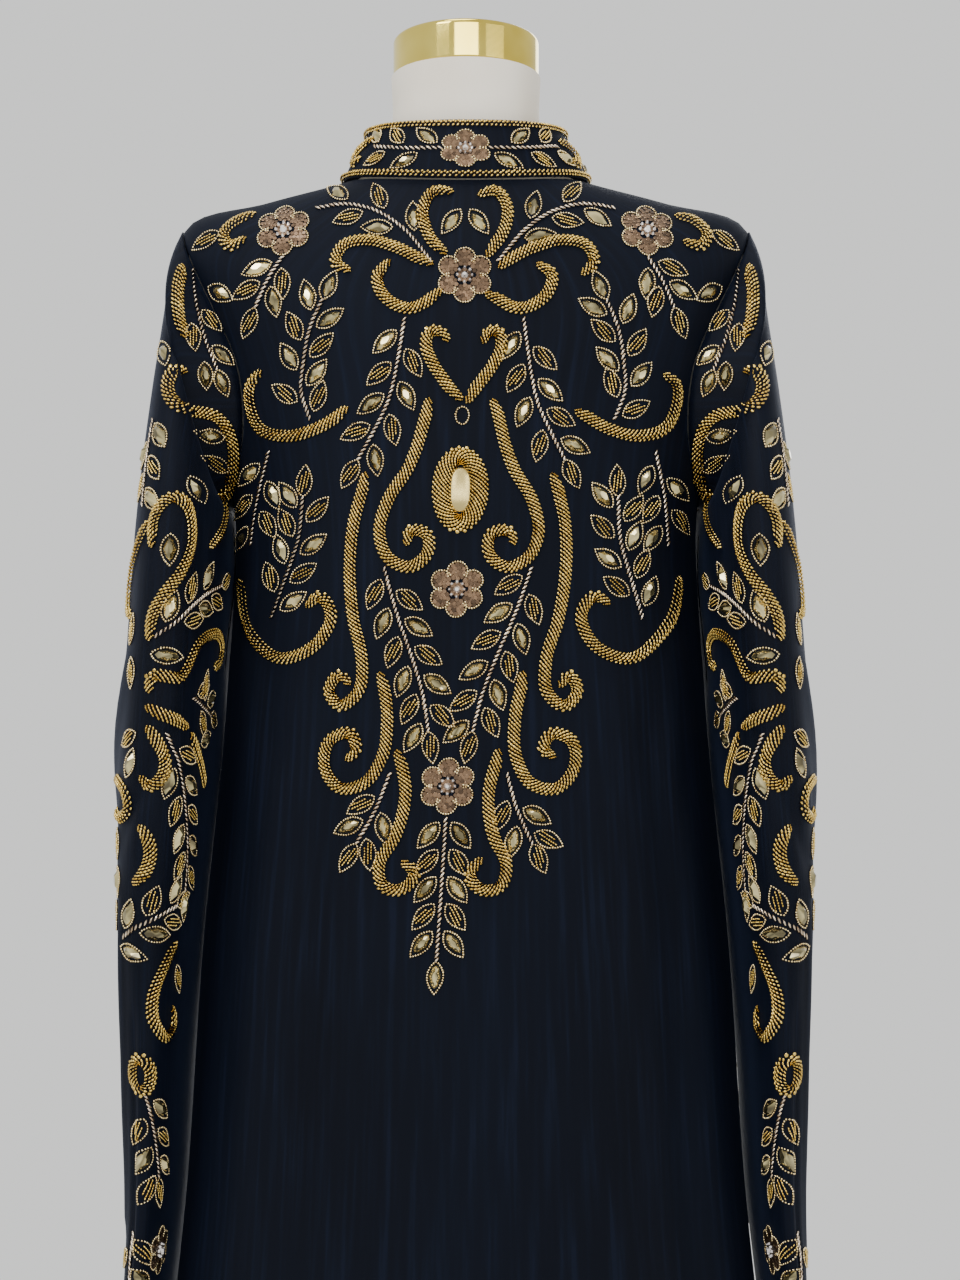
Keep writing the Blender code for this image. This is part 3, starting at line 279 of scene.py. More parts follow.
class BodySurface(Surface):
    """The robe's body, from the neck to the hem."""

    rings = (
        Ring("neck", 1.480, 1.487, 1.440, 0.0815, 0.062, 0.068),
        Ring("mid shoulder", 1.440, 1.474, 1.395, 0.135, 0.080, 0.088),
        Ring("shoulder point", 1.392, 1.456, 1.345, 0.189, 0.093, 0.104),
        Ring("armhole", 1.330, 1.365, 1.300, 0.170, 0.101, 0.118),
        Ring("underarm", 1.268, 1.272, 1.245, 0.154, 0.106, 0.126),
        Ring("midriff", 1.130, 1.130, 1.120, 0.1610, 0.110, 0.127),
        Ring("hip", 0.980, 0.980, 0.975, 0.1755, 0.117, 0.128),
        Ring("thigh", 0.800, 0.800, 0.800, 0.186, 0.129, 0.134),
        Ring("knee", 0.500, 0.500, 0.500, 0.221, 0.156, 0.155),
        Ring("calf", 0.250, 0.250, 0.250, 0.256, 0.181, 0.176),
        Ring("hem", 0.030, 0.030, 0.030, 0.290, 0.205, 0.198),
    )
    folds = (
        Fold(0.10, 0.11, 0.012),
        Fold(0.38, 0.13, 0.021),
        Fold(0.70, 0.12, 0.018),
        Fold(1.02, 0.13, 0.023),
        Fold(1.36, 0.14, 0.019),
        Fold(1.70, 0.12, 0.020),
    )
    folds_start = 1.06
    fold_power = 1.5
    armhole_back = 0.37
    armhole_front = 0.33
    metric = 0.21
    creases = (
        Crease((-0.070, 0.34), (-0.092, 1.30), 0.016, -0.0030),
        Crease((-0.105, 0.40), (-0.128, 1.20), 0.014, 0.0026),
        Crease((-0.034, 0.46), (-0.030, 1.25), 0.015, -0.0020),
        Crease((0.105, 0.36), (0.122, 1.25), 0.015, -0.0032),
        Crease((0.136, 0.42), (0.160, 1.30), 0.013, 0.0024),
        Crease((0.052, 0.62), (0.066, 1.30), 0.014, 0.0022),
        Crease((-0.150, 0.20), (-0.120, 0.42), 0.012, 0.0016),
        Crease((0.150, 0.20), (0.118, 0.40), 0.012, 0.0018),
        Crease((-0.255, 0.26), (-0.270, 1.20), 0.016, -0.0028),
        Crease((0.262, 0.24), (0.285, 1.15), 0.017, -0.0026),
        Crease((-0.318, 0.30), (-0.345, 1.25), 0.016, 0.0030),
        Crease((0.325, 0.33), (0.340, 1.30), 0.015, 0.0028),
        Crease((-0.370, 0.22), (-0.385, 0.95), 0.013, -0.0024),
        Crease((0.372, 0.26), (0.390, 1.05), 0.014, -0.0024),
        Crease((0.300, 0.09), (0.372, 0.30), 0.013, 0.0020),
        Crease((-0.300, 0.08), (-0.366, 0.28), 0.012, 0.0018),
        Crease((-0.210, 0.232), (-0.210, 0.312), 0.024, 0.0036),
        Crease((0.210, 0.232), (0.210, 0.312), 0.024, 0.0036),
    )

    def __init__(self) -> None:
        """Works out the rings' curve and its marks down the body."""
        table = np.array([ring.values() for ring in self.rings])
        steps = np.hypot(np.diff(table[:, 0]), np.diff(table[:, 4]))
        self.curve = Curve(np.concatenate([[0.0], np.cumsum(steps)]), table)
        self.length = float(self.curve.knots[-1])
        self.shoulder_v = float(self.curve.knots[2])
        self.underarm_v = float(self.curve.knots[4])
        self.hem_z = self.rings[-1].z_back

    def inside(self, u: np.ndarray, v: np.ndarray) -> np.ndarray:
        """Points of the cloth's inner face, skirt folds included.

        Args:
            u: Place round the piece.
            v: Place down it.
        Returns:
            Points, with x, y and z in the last axis.
        """
        u, v = np.broadcast_arrays(np.asarray(u, float), np.asarray(v, float))
        point = oval(self.curve.read(v), u)
        share = np.clip((self.folds_start - point[..., 2]) / (self.folds_start - self.hem_z), 0, 1)
        push = np.zeros_like(share)
        for fold in self.folds:
            for side in (-1, 1):
                push = push + fold.depth * np.exp(-(((u - side * fold.u) / fold.half_width) ** 2))
        push = push * share**self.fold_power
        turn = u * math.pi / 2
        point[..., 0] += push * np.sin(turn)
        point[..., 1] -= push * np.cos(turn)
        return point

    def armhole(self, angle: np.ndarray, side: int) -> tuple[np.ndarray, np.ndarray]:
        """Flat place on the armhole's edge.

        Args:
            angle: 0 at the shoulder, a quarter turn behind, a half turn under the arm.
            side: Sign of x.
        Returns:
            u and v of the place.
        """
        cut = np.where(np.sin(angle) >= 0, self.armhole_back, self.armhole_front)
        middle = (self.shoulder_v + self.underarm_v) / 2
        reach = (self.underarm_v - self.shoulder_v) / 2
        return side * (1 - cut * np.sin(angle)), middle - reach * np.cos(angle)

    def side_edge(self, v: float, behind: bool) -> float:
        """Place round the body of a panel's side edge: seam, armhole, then seam.

        Args:
            v: Place down the body.
            behind: Whether the panel is the back.
        Returns:
            u of the edge on the +X side.
        """
        toward = -1 if behind else 1
        reach = (self.underarm_v - self.shoulder_v) / 2
        cosine = (self.shoulder_v + reach - v) / reach
        if abs(cosine) < 1:
            cut = self.armhole_back if behind else self.armhole_front
            return 1 + toward * cut * math.sqrt(1 - cosine * cosine)
        depth = float(self.curve.read(np.array(v))[4])
        return 1 + toward * SEAM / 2 / (math.pi / 2 * depth)


class SleeveSurface(Surface):
    """A sleeve's cloth, from the armhole to the cuff. u is the angle round it."""

    rings = (
        SleeveRing("crown", 0.1950, 1.443, 0.1605, 1.2705, 0.070, 0.000),
        SleeveRing("cap", 0.1995, 1.405, 0.1605, 1.2640, 0.082, -0.001),
        SleeveRing("upper arm", 0.2070, 1.350, 0.1605, 1.2480, 0.092, -0.003),
        SleeveRing("biceps", 0.2160, 1.275, 0.1610, 1.2180, 0.098, -0.004),
        SleeveRing("above elbow", 0.2220, 1.190, 0.1637, 1.1720, 0.101, -0.005),
        SleeveRing("elbow", 0.2285, 1.110, 0.1665, 1.1060, 0.101, -0.005),
        SleeveRing("forearm", 0.2295, 1.000, 0.1780, 1.0000, 0.096, -0.004),
        SleeveRing("low forearm", 0.2245, 0.900, 0.1868, 0.9000, 0.090, -0.003),
        SleeveRing("wrist", 0.2225, 0.810, 0.1930, 0.8100, 0.086, -0.002),
        SleeveRing("cuff", 0.2265, 0.715, 0.2040, 0.7150, 0.086, -0.002),
    )
    metric = 0.075
    turn_step = 0.01
    edge = 0.009
    left_creases = (
        Crease((0.055, 0.30), (0.010, 0.40), 0.011, 0.0034),
        Crease((0.150, 0.33), (0.075, 0.41), 0.010, -0.0030),
        Crease((0.045, 0.38), (0.020, 0.52), 0.010, -0.0030),
        Crease((0.075, 0.44), (0.060, 0.66), 0.009, 0.0030),
        Crease((0.030, 0.50), (0.034, 0.72), 0.010, -0.0028),
        Crease((0.100, 0.52), (0.092, 0.74), 0.008, -0.0024),
        Crease((-0.040, 0.32), (-0.012, 0.44), 0.011, -0.0032),
        Crease((-0.140, 0.30), (-0.080, 0.40), 0.010, 0.0028),
        Crease((-0.070, 0.46), (-0.052, 0.70), 0.010, 0.0030),
        Crease((-0.110, 0.50), (-0.098, 0.73), 0.009, -0.0026),
        Crease((0.004, 0.12), (0.020, 0.28), 0.012, 0.0020),
        Crease((0.2356, 0.090), (0.2356, 0.235), 0.028, 0.0030),
        Crease((-0.2356, 0.090), (-0.2356, 0.235), 0.028, 0.0030),
        Crease((0.2010, 0.070), (0.2040, 0.280), 0.018, 0.0036),
        Crease((-0.2010, 0.070), (-0.2040, 0.280), 0.018, 0.0042),
    )

    def __init__(self, body: BodySurface, side: Side) -> None:
        """Sets the creases of a side and the knots down its outer line.

        Args:
            body: The robe's body.
            side: The wearer's side.
        """
        self.body, self.side = body, side.value
        self.outward = -float(self.side)
        self.creases = tuple(replace(crease, height=crease.height * (1.0 if side is Side.LEFT else 0.85),
                                     stop=(crease.stop[0], crease.stop[1] + 0.01 * side.value))
                             for crease in self.left_creases)
        start = self.first_ring(np.array(0.0), 1)
        outer = [(start[0], start[2])] + [(ring.outer_x, ring.outer_z) for ring in self.rings]
        steps = np.linalg.norm(np.diff(np.array(outer, float), axis=0), axis=1)
        self.knots = np.concatenate([[0.0], np.cumsum(steps)])
        self.length = float(self.knots[-1])

    def first_ring(self, angle: np.ndarray, side: int) -> np.ndarray:
        """Points of the sleeve's first ring, just outside the cloth round the armhole.

        Args:
            angle: 0 at the shoulder, a quarter turn behind, a half turn under the arm.
            side: Sign of x.
        Returns:
            Points, with x, y and z in the last axis.
        """
        u, v = self.body.armhole(angle, side)
        ring = self.body.inside(u, v) + self.body.normal(u, v) * LAP
        ring[..., 0] += side * SEAM
        return ring

    def hanging_ring(self, ring: SleeveRing, angle: np.ndarray) -> np.ndarray:
        """Points of a ring of the hanging sleeve.

        Args:
            ring: The ring.
            angle: Angle round it, 0 at its outer line.
        Returns:
            Points, with x, y and z in the last axis.
        """
        cosine, sine = np.cos(angle), np.sin(angle)
        out = cosine * (1 + CORNER * sine**2)
        x = (ring.outer_x + ring.inner_x) / 2 + (ring.outer_x - ring.inner_x) / 2 * out
        z = (ring.outer_z + ring.inner_z) / 2 + (ring.outer_z - ring.inner_z) / 2 * out
        y = ring.mid_y - ring.half_depth * sine * (1 + CORNER * cosine**2)
        return np.stack([self.side * x, y, z], axis=-1)

    def inside(self, u: np.ndarray, v: np.ndarray) -> np.ndarray:
        """Points of the cloth's inner face.

        Args:
            u: Angle round the sleeve.
            v: Place down it.
        Returns:
            Points, with x, y and z in the last axis.
        """
        angle, v = np.broadcast_arrays(np.asarray(u, float), np.asarray(v, float))
        rings = [self.first_ring(angle, self.side)]
        rings += [self.hanging_ring(ring, angle) for ring in self.rings]
        flat = np.stack(rings).reshape(len(rings), -1)
        return Curve(self.knots, flat).read_columns(np.repeat(v.reshape(-1), 3)).reshape(angle.shape + (3,))


class CollarSurface(Surface):
    """The standing collar. v is the distance down from its top edge."""

    top = Ring("collar top", 1.521, 1.523, 1.487, 0.0640, 0.0550, 0.0580)
    bulge = 0.0015
    metric = 0.101
    length = 0.042
    end = 1.945

    def __init__(self, body: BodySurface) -> None:
        """Keeps the body that the collar stands on."""
        self.body = body

    def inside(self, u: np.ndarray, v: np.ndarray) -> np.ndarray:
        """Points of the collar's inner face.

        Args:
            u: Place round the piece.
            v: Place down it.
        Returns:
            Points, with x, y and z in the last axis.
        """
        u, v = np.broadcast_arrays(np.asarray(u, float), np.asarray(v, float))
        up = 1 - v / self.length
        zero = np.zeros_like(up)
        foot = self.body.inside(u, zero) + self.body.normal(u, zero) * LAP
        foot[..., 2] += SEAM
        top = oval(np.array(self.top.values()) + np.zeros(u.shape + (6,)), u)
        turn = u * math.pi / 2
        bulge = self.bulge * 4 * up * (1 - up)
        point = foot + (top - foot) * up[..., None]
        point[..., 0] += bulge * np.sin(turn)
        point[..., 1] -= bulge * np.cos(turn)
        return point


# From a motif's plane to the cloth

@dataclass
class Layout:
    """Finds where a spot of a motif's plane lies on a piece of cloth."""
    surface: Surface
    u_axis: np.ndarray
    v_axis: np.ndarray
    across: np.ndarray
    height: np.ndarray
    to_measures: Callable[[np.ndarray], tuple[np.ndarray, np.ndarray]]
    rounds: int = 18
    pace: float = 0.8
    coarse: int = 5
    batch: int = 2000
    stray: float = 0.0025
    shown: Optional[np.ndarray] = None

    def look_up(self, table: np.ndarray, u: np.ndarray, v: np.ndarray) -> np.ndarray:
        """Value of a table at flat places, by straight lines between its entries.

        Args:
            table: Across or height at each entry.
            u: Place round the piece.
            v: Place down it.
        Returns:
            A value for each place.
        """
        i = np.clip((u - self.u_axis[0]) / (self.u_axis[1] - self.u_axis[0]), 0, len(self.u_axis) - 1.001)
        j = np.clip((v - self.v_axis[0]) / (self.v_axis[1] - self.v_axis[0]), 0, len(self.v_axis) - 1.001)
        i0, j0 = i.astype(int), j.astype(int)
        fu, fv = i - i0, j - j0
        return (table[i0, j0] * (1 - fu) * (1 - fv) + table[i0 + 1, j0] * fu * (1 - fv)
                + table[i0, j0 + 1] * (1 - fu) * fv + table[i0 + 1, j0 + 1] * fu * fv)

    def first_places(self, wanted: Sequence[np.ndarray]) -> tuple[np.ndarray, np.ndarray]:
        """The nearest of a coarse choice of the tables' entries.

        Args:
            wanted: Distance across and height of each spot.
        Returns:
            u and v of each.
        """
        step = self.coarse
        u, v = np.meshgrid(self.u_axis[::step], self.v_axis[::step], indexing="ij")
        across, height = self.across[::step, ::step], self.height[::step, ::step]
        kept = np.ones(u.shape, bool) if self.shown is None else self.shown[::step, ::step]
        u, v, across, height = (table[kept] for table in (u, v, across, height))
        nearest = [np.argmin((across - a[:, None]) ** 2 + (height - b[:, None]) ** 2, axis=1)
                   for a, b in ((wanted[0][start:start + self.batch], wanted[1][start:start + self.batch])
                                for start in range(0, len(wanted[0]), self.batch))]
        chosen = np.concatenate(nearest)
        return u[chosen], v[chosen]

    def flat(self, spots: np.ndarray) -> tuple[np.ndarray, np.ndarray]:
        """Flat places of spots of the motif's plane.

        Args:
            spots: One spot a row, in metres.
        Returns:
            u and v of each.
        """
        wanted = self.to_measures(spots)
        u, v = self.first_places(wanted)
        du, dv = (self.u_axis[1] - self.u_axis[0]) * 2, (self.v_axis[1] - self.v_axis[0]) * 2
        tables = (self.across, self.height)
        for _ in range(self.rounds):
            miss_a, miss_b = (want - self.look_up(t, u, v) for want, t in zip(wanted, tables))
            au, bu = ((self.look_up(t, u + du, v) - self.look_up(t, u - du, v)) / (2 * du) for t in tables)
            av, bv = ((self.look_up(t, u, v + dv) - self.look_up(t, u, v - dv)) / (2 * dv) for t in tables)
            det = au * bv - av * bu
            det = np.where(np.abs(det) < TINY, TINY, det)
            u = u + self.pace * (miss_a * bv - miss_b * av) / det
            v = v + self.pace * (miss_b * au - miss_a * bu) / det
            u = np.clip(u, self.u_axis.min(), self.u_axis.max())
            v = np.clip(v, self.v_axis[0], self.v_axis[-1])
        return u, v

    def seat(self, spots: np.ndarray, turn: np.ndarray,
             lift: np.ndarray) -> tuple[np.ndarray, np.ndarray, np.ndarray]:
        """Places of beads on the cloth, and the three axes of each.

        Args:
            spots: One spot a row, in metres.
            turn: Heading of each bead in the motif's plane.
            lift: Height above the cloth.
        Returns:
            Origins, axes as columns (along, aside and up), and which spots the cloth reaches.
        """
        ahead = spots + np.stack([np.cos(turn), np.sin(turn)], axis=1) * MM
        u, v = self.flat(np.concatenate([spots, ahead]))
        count = len(spots)
        miss = [want[:count] - self.look_up(table, u[:count], v[:count])
                for want, table in zip(self.to_measures(spots), (self.across, self.height))]
        reached = np.hypot(miss[0], miss[1]) < self.stray
        origin = self.surface.outside(u[:count], v[:count], lift)
        up = self.surface.normal(u[:count], v[:count])
        along = self.surface.inside(u[count:], v[count:]) - self.surface.inside(u[:count], v[:count])
        along -= up * (along * up).sum(1)[:, None]
        along /= np.maximum(np.linalg.norm(along, axis=1), TINY)[:, None]
        return origin, np.stack([along, np.cross(up, along), up], axis=2), reached


class Layouts:
    """Makes the layout of each panel's plane."""

    lean = 0.0713
    body_reach = 0.70
    body_grid = (241, 281)
    head_reach = 0.24
    head_facing = 0.12
    head_coarse = 3
    sleeve_grid = (181, 321)
    sleeve_levels = 320
    collar_grid = (81, 21)

    @classmethod
    def body(cls, body: BodySurface, low: float, high: float, behind: bool) -> Layout:
        """Layout of the back or a front: distance across, and down from the neck seam, as seen.

        Args:
            body: The robe's body.
            low: u of the panel's lower end.
            high: u of its upper end.
            behind: Whether the panel is the back.
        Returns:
            The layout.
        """
        round_count, down_count = cls.body_grid
        u_axis, v_axis = np.linspace(low, high, round_count), np.linspace(0.0, cls.body_reach, down_count)
        points = body.inside(u_axis[:, None], v_axis[None, :])
        lean = cls.lean if behind else 0.0

        def measures(spots: np.ndarray) -> tuple[np.ndarray, np.ndarray]:
            """Distance across and height, with the cloth's lean."""
            return spots[:, 0] - lean * spots[:, 1] ** 2, body.rings[0].z_back - spots[:, 1]

        return Layout(body, u_axis, v_axis, points[..., 0], points[..., 2], measures)

    @classmethod
    def sleeve(cls, sleeve: SleeveSurface, rear: int, by_sight: bool) -> Layout:
        """Layout of a sleeve's rear or front half: level distance round from its outer line, and height.

        Args:
            sleeve: The sleeve's surface.
            rear: 1 for the rear half and -1 for the front half.
            by_sight: Whether the first measure is instead the distance from the centre plane.
        Returns:
            The layout.
        """
        def measures(spots: np.ndarray) -> tuple[np.ndarray, np.ndarray]:
            """Distance round and height."""
            return spots[:, 0], spots[:, 1]

        reach = cls.head_reach if by_sight else sleeve.length
        round_count, down_count = cls.sleeve_grid
        u_axis, v_axis = rear * np.linspace(0.0, math.pi, round_count), np.linspace(0.0, reach, down_count)
        points = sleeve.inside(u_axis[:, None], v_axis[None, :])
        if by_sight:
            normal = sleeve.normal(*np.meshgrid(u_axis, v_axis, indexing="ij"))
            facing = normal[..., 1] * -rear > cls.head_facing
            return Layout(sleeve, u_axis, v_axis, np.abs(points[..., 0]), points[..., 2], measures,
                          coarse=cls.head_coarse, shown=facing)
        levels = np.linspace(points[..., 2].min(), points[..., 2].max(), cls.sleeve_levels)
        cuts = np.stack([[np.interp(levels, line[::-1, 2], line[::-1, axis]) for axis in (0, 1)]
                         for line in points])
        steps = np.linalg.norm(np.diff(cuts, axis=0), axis=1)
        run = np.concatenate([np.zeros((1, len(levels))), np.cumsum(steps, axis=0)])
        across = np.stack([np.interp(line[:, 2], levels, far) for line, far in zip(points, run)])
        return Layout(sleeve, u_axis, v_axis, across, points[..., 2], measures)

    @classmethod
    def collar(cls, collar: CollarSurface) -> Layout:
        """Layout of the collar: distance round from centre back, and down from its top edge.

        Args:
            collar: The collar's surface.
        Returns:
            The layout.
        """
        round_count, down_count = cls.collar_grid
        u_axis, v_axis = np.linspace(-2.0, 2.0, round_count), np.linspace(0.0, collar.length, down_count)
        across = u_axis[:, None] * collar.metric + 0 * v_axis[None, :]
        down = 0 * u_axis[:, None] + v_axis[None, :]

        def measures(spots: np.ndarray) -> tuple[np.ndarray, np.ndarray]:
            """Distance round and down."""
            return spots[:, 0], spots[:, 1]

        return Layout(collar, u_axis, v_axis, across, down, measures)


# Materials

class Nodes:
    """Builds a node tree from short calls."""

    def __init__(self, tree: bpy.types.NodeTree) -> None:
        """Keeps the tree to build in."""
        self.tree = tree

    def add(self, kind: str, settings: Optional[dict] = None, **inputs: object) -> bpy.types.Node:
        """Adds a node.

        Args:
            kind: Blender's name for the node, without the words ShaderNode.
            settings: Its own properties.
            inputs: Values or sockets for its inputs, underscores for spaces.
        Returns:
            The node.
        """
        node = self.tree.nodes.new("ShaderNode" + kind)
        for name, value in (settings or {}).items():
            setattr(node, name, value)
        for name, value in inputs.items():
            self.feed(node.inputs[name.replace("_", " ")], value)
        return node

    def feed(self, socket: bpy.types.NodeSocket, value: object) -> None:
        """Links a socket to an input, or sets the input's value.

        Args:
            socket: The input.
            value: A socket to link, or a value.
        """
        if isinstance(value, bpy.types.NodeSocket):
            self.tree.links.new(value, socket)
        else:
            socket.default_value = value

    def maths(self, operation: str, first: object, second: object = 0.0) -> bpy.types.NodeSocket:
        """A Math node's result.

        Args:
            operation: Blender's name for it.
            first: First socket or value.
            second: Second socket or value.
        Returns:
            The result's socket.
        """
        node = self.add("Math", {"operation": operation})
        self.feed(node.inputs[0], first)
        self.feed(node.inputs[1], second)
        return node.outputs[0]

    def mix(self, share: object, first: object, second: object) -> bpy.types.NodeSocket:
        """A mixed colour.

        Args:
            share: Share of the second colour.
            first: First colour.
            second: Second colour.
        Returns:
            The colour's socket.
        """
        node = self.add("Mix", {"data_type": "RGBA"})
        self.feed(node.inputs["Factor"], share)
        self.feed(node.inputs[6], first)
        self.feed(node.inputs[7], second)
        return node.outputs[2]

    def ramp(self, value: object, low: float, high: float, to_low: float = 0.0,
             to_high: float = 1.0) -> bpy.types.NodeSocket:
        """A value moved from one range to another, held at its ends.

        Args:
            value: The value.
            low: Start of its range.
            high: End of its range.
            to_low: Start of the new range.
            to_high: End of the new range.
        Returns:
            The moved value's socket.
        """
        node = self.add("MapRange", None, Value=value)
        for name, number in (("From Min", low), ("From Max", high), ("To Min", to_low), ("To Max", to_high)):
            node.inputs[name].default_value = number
        return node.outputs[0]


def rgb(red: float, green: float, blue: float) -> tuple[float, float, float, float]:
    """A linear colour from 0 to 255 screen values.

    Args:
        red: Red.
        green: Green.
        blue: Blue.
    Returns:
        The colour, with full cover.
    """
    def linear(value: float) -> float:
        """One channel."""
        share = value / 255
        return share / 12.92 if share <= 0.04045 else ((share + 0.055) / 1.055) ** 2.4
    return (linear(red), linear(green), linear(blue), 1.0)


class Effects:
    """Shader groups that several materials share, each built once."""

    @staticmethod
    def _group(name: str, inputs: Sequence[tuple[str, str, object]],
               outputs: Sequence[tuple[str, str]]) -> tuple[bpy.types.NodeTree, Nodes, object, object]:
        """A new group with named sockets.

        Args:
            name: The group's name.
            inputs: Name, type and default of each input.
            outputs: Name and type of each output.
        Returns:
            The tree, its builder, its input node and its output node.
        """
        tree = bpy.data.node_groups.new(name, "ShaderNodeTree")
        for label, kind, default in inputs:
            socket = tree.interface.new_socket(label, in_out="INPUT", socket_type="NodeSocket" + kind)
            if default is not None:
                socket.default_value = default
        for label, kind in outputs:
            tree.interface.new_socket(label, in_out="OUTPUT", socket_type="NodeSocket" + kind)
        return tree, Nodes(tree), tree.nodes.new("NodeGroupInput"), tree.nodes.new("NodeGroupOutput")

    @classmethod
    def weave(cls) -> bpy.types.NodeTree:
        """Plain weave on a cloth's own flat places: crossing threads, each a little uneven.

        Returns:
            The group.
        """
        if "weave" in bpy.data.node_groups:
            return bpy.data.node_groups["weave"]
        tree, nodes, given, out = cls._group(
            "weave", (("Place", "Vector", None), ("Threads", "Float", 2200.0), ("Uneven", "Float", 0.3)),
            (("Height", "Float"), ("Thread", "Float")))
        apart = nodes.add("SeparateXYZ", None, Vector=given.outputs["Place"])
        warp = nodes.maths("SINE", nodes.maths("MULTIPLY", apart.outputs[0], given.outputs["Threads"]))
        weft = nodes.maths("SINE", nodes.maths("MULTIPLY", apart.outputs[1], given.outputs["Threads"]))
        crossing = nodes.maths("MULTIPLY", warp, weft)
        noise = nodes.add("TexNoise", None, Vector=given.outputs["Place"], Scale=900.0, Detail=2.0)
        uneven = nodes.maths("MULTIPLY", noise.outputs["Fac"], given.outputs["Uneven"])
        height = nodes.maths("ADD", nodes.maths("MULTIPLY", crossing, 0.5), uneven)
        nodes.feed(out.inputs["Height"], height)
        nodes.feed(out.inputs["Thread"], nodes.ramp(crossing, -1.0, 1.0))
        return tree

    @classmethod
    def slub(cls) -> bpy.types.NodeTree:
        """Fine upright streaks of thicker yarn, and broad soft shading along the drape.

        Returns:
            The group.
        """
        if "slub" in bpy.data.node_groups:
            return bpy.data.node_groups["slub"]
        tree, nodes, given, out = cls._group(
            "slub", (("Place", "Vector", None), ("Fine", "Float", 260.0), ("Broad", "Float", 16.0)),
            (("Streak", "Float"), ("Shade", "Float")))
        for label, scale, stretch in (("Streak", "Fine", 0.035), ("Shade", "Broad", 0.16)):
            lie = nodes.add("Mapping", None, Vector=given.outputs["Place"])
            lie.inputs["Scale"].default_value = (1.0, stretch, 1.0)
            noise = nodes.add("TexNoise", None, Vector=lie.outputs[0], Scale=given.outputs[scale], Detail=3.0)
            nodes.feed(out.inputs[label], nodes.ramp(noise.outputs["Fac"], 0.32, 0.68))
        return tree

    @classmethod
    def grain(cls) -> bpy.types.NodeTree:
        """Small unevenness of a hard surface: a mask and a height.

        Returns:
            The group.
        """
        if "grain" in bpy.data.node_groups:
            return bpy.data.node_groups["grain"]
        tree, nodes, given, out = cls._group(
            "grain", (("Place", "Vector", None), ("Fine", "Float", 400.0), ("Broad", "Float", 12.0)),
            (("Mask", "Float"), ("Height", "Float")))
        fine = nodes.add("TexNoise", None, Vector=given.outputs["Place"], Scale=given.outputs["Fine"])
        broad = nodes.add("TexNoise", None, Vector=given.outputs["Place"], Scale=given.outputs["Broad"],
                          Detail=3.0)
        nodes.feed(out.inputs["Mask"], nodes.ramp(broad.outputs["Fac"], 0.35, 0.65))
        nodes.feed(out.inputs["Height"], fine.outputs["Fac"])
        return tree


@dataclass(frozen=True)
class Finish(ABC):
    """How a surface looks. Each finish makes one material, once."""
    name: str

    def material(self) -> bpy.types.Material:
        """The finish's material.

        Returns:
            The material, made at the first call.
        """
        found = bpy.data.materials.get(self.name)
        if found:
            return found
        made = bpy.data.materials.new(self.name)
        made.use_nodes = True
        nodes = Nodes(made.node_tree)
        self.dress(nodes, made.node_tree.nodes["Principled BSDF"])
        return made

    @abstractmethod
    def dress(self, nodes: Nodes, shader: bpy.types.Node) -> None:
        """Builds the finish's nodes onto the shader."""

    @staticmethod
    def effect(nodes: Nodes, tree: bpy.types.NodeTree, place: object, **values: float) -> bpy.types.Node:
        """A shared group, placed with its own values.

        Args:
            nodes: The material's node builder.
            tree: The group.
            place: Where it is read.
            values: Values of its inputs.
        Returns:
            The group's node.
        """
        node = nodes.add("Group")
        node.node_tree = tree
        nodes.feed(node.inputs["Place"], place)
        for name, value in values.items():
            node.inputs[name].default_value = value
        return node


@dataclass(frozen=True)
class ClothFinish(Finish):
    """Navy-black woven cloth, read on the piece's own flat places in metres."""
    dark: tuple[float, ...] = rgb(2, 5, 15)
    light: tuple[float, ...] = rgb(4, 9, 22)
    streak: tuple[float, ...] = rgb(12, 20, 38)
    threads: float = 7400.0
    roughness: float = 0.7
    sheen: float = 0.02
    cover: float = 1.0
    thin: float = 1.0
    weave_depth: float = 0.12

    def dress(self, nodes: Nodes, shader: bpy.types.Node) -> None:
        """Weave, slubs and drape shading, and a thinner cover where the cloth is sheer.

        Args:
            nodes: The material's node builder.
            shader: Its shader.
        """
        place = nodes.add("UVMap", {"uv_map": "cloth"}).outputs[0]
        slub = self.effect(nodes, Effects.slub(), place)
        weave = self.effect(nodes, Effects.weave(), place, Threads=self.threads)
        tone = nodes.mix(slub.outputs["Shade"], self.dark, self.light)
        streaks = nodes.maths("MULTIPLY", nodes.maths("POWER", slub.outputs["Streak"], 3.0), 0.5)
        tone = nodes.mix(streaks, tone, self.streak)
        nodes.feed(shader.inputs["Base Color"], tone)
        rough = nodes.ramp(weave.outputs["Thread"], 0.0, 1.0, self.roughness - 0.06, self.roughness + 0.06)
        nodes.feed(shader.inputs["Roughness"], rough)
        height = nodes.maths("ADD", nodes.maths("MULTIPLY", weave.outputs["Height"], 0.5),
                             nodes.maths("MULTIPLY", slub.outputs["Streak"], 0.6))
        bump = nodes.add("Bump", None, Strength=self.weave_depth, Distance=0.0004, Height=height)
        nodes.feed(shader.inputs["Normal"], bump.outputs[0])
        shader.inputs["Sheen Weight"].default_value = self.sheen
        shader.inputs["Sheen Roughness"].default_value = 0.4
        shader.inputs["Specular IOR Level"].default_value = 0.1
        shader.inputs["Sheen Tint"].default_value = (0.35, 0.5, 1.0, 1.0)
        if self.cover < 1.0:
            nodes.feed(shader.inputs["Alpha"],
                       nodes.ramp(slub.outputs["Shade"], 0.0, 1.0, self.thin, self.cover))


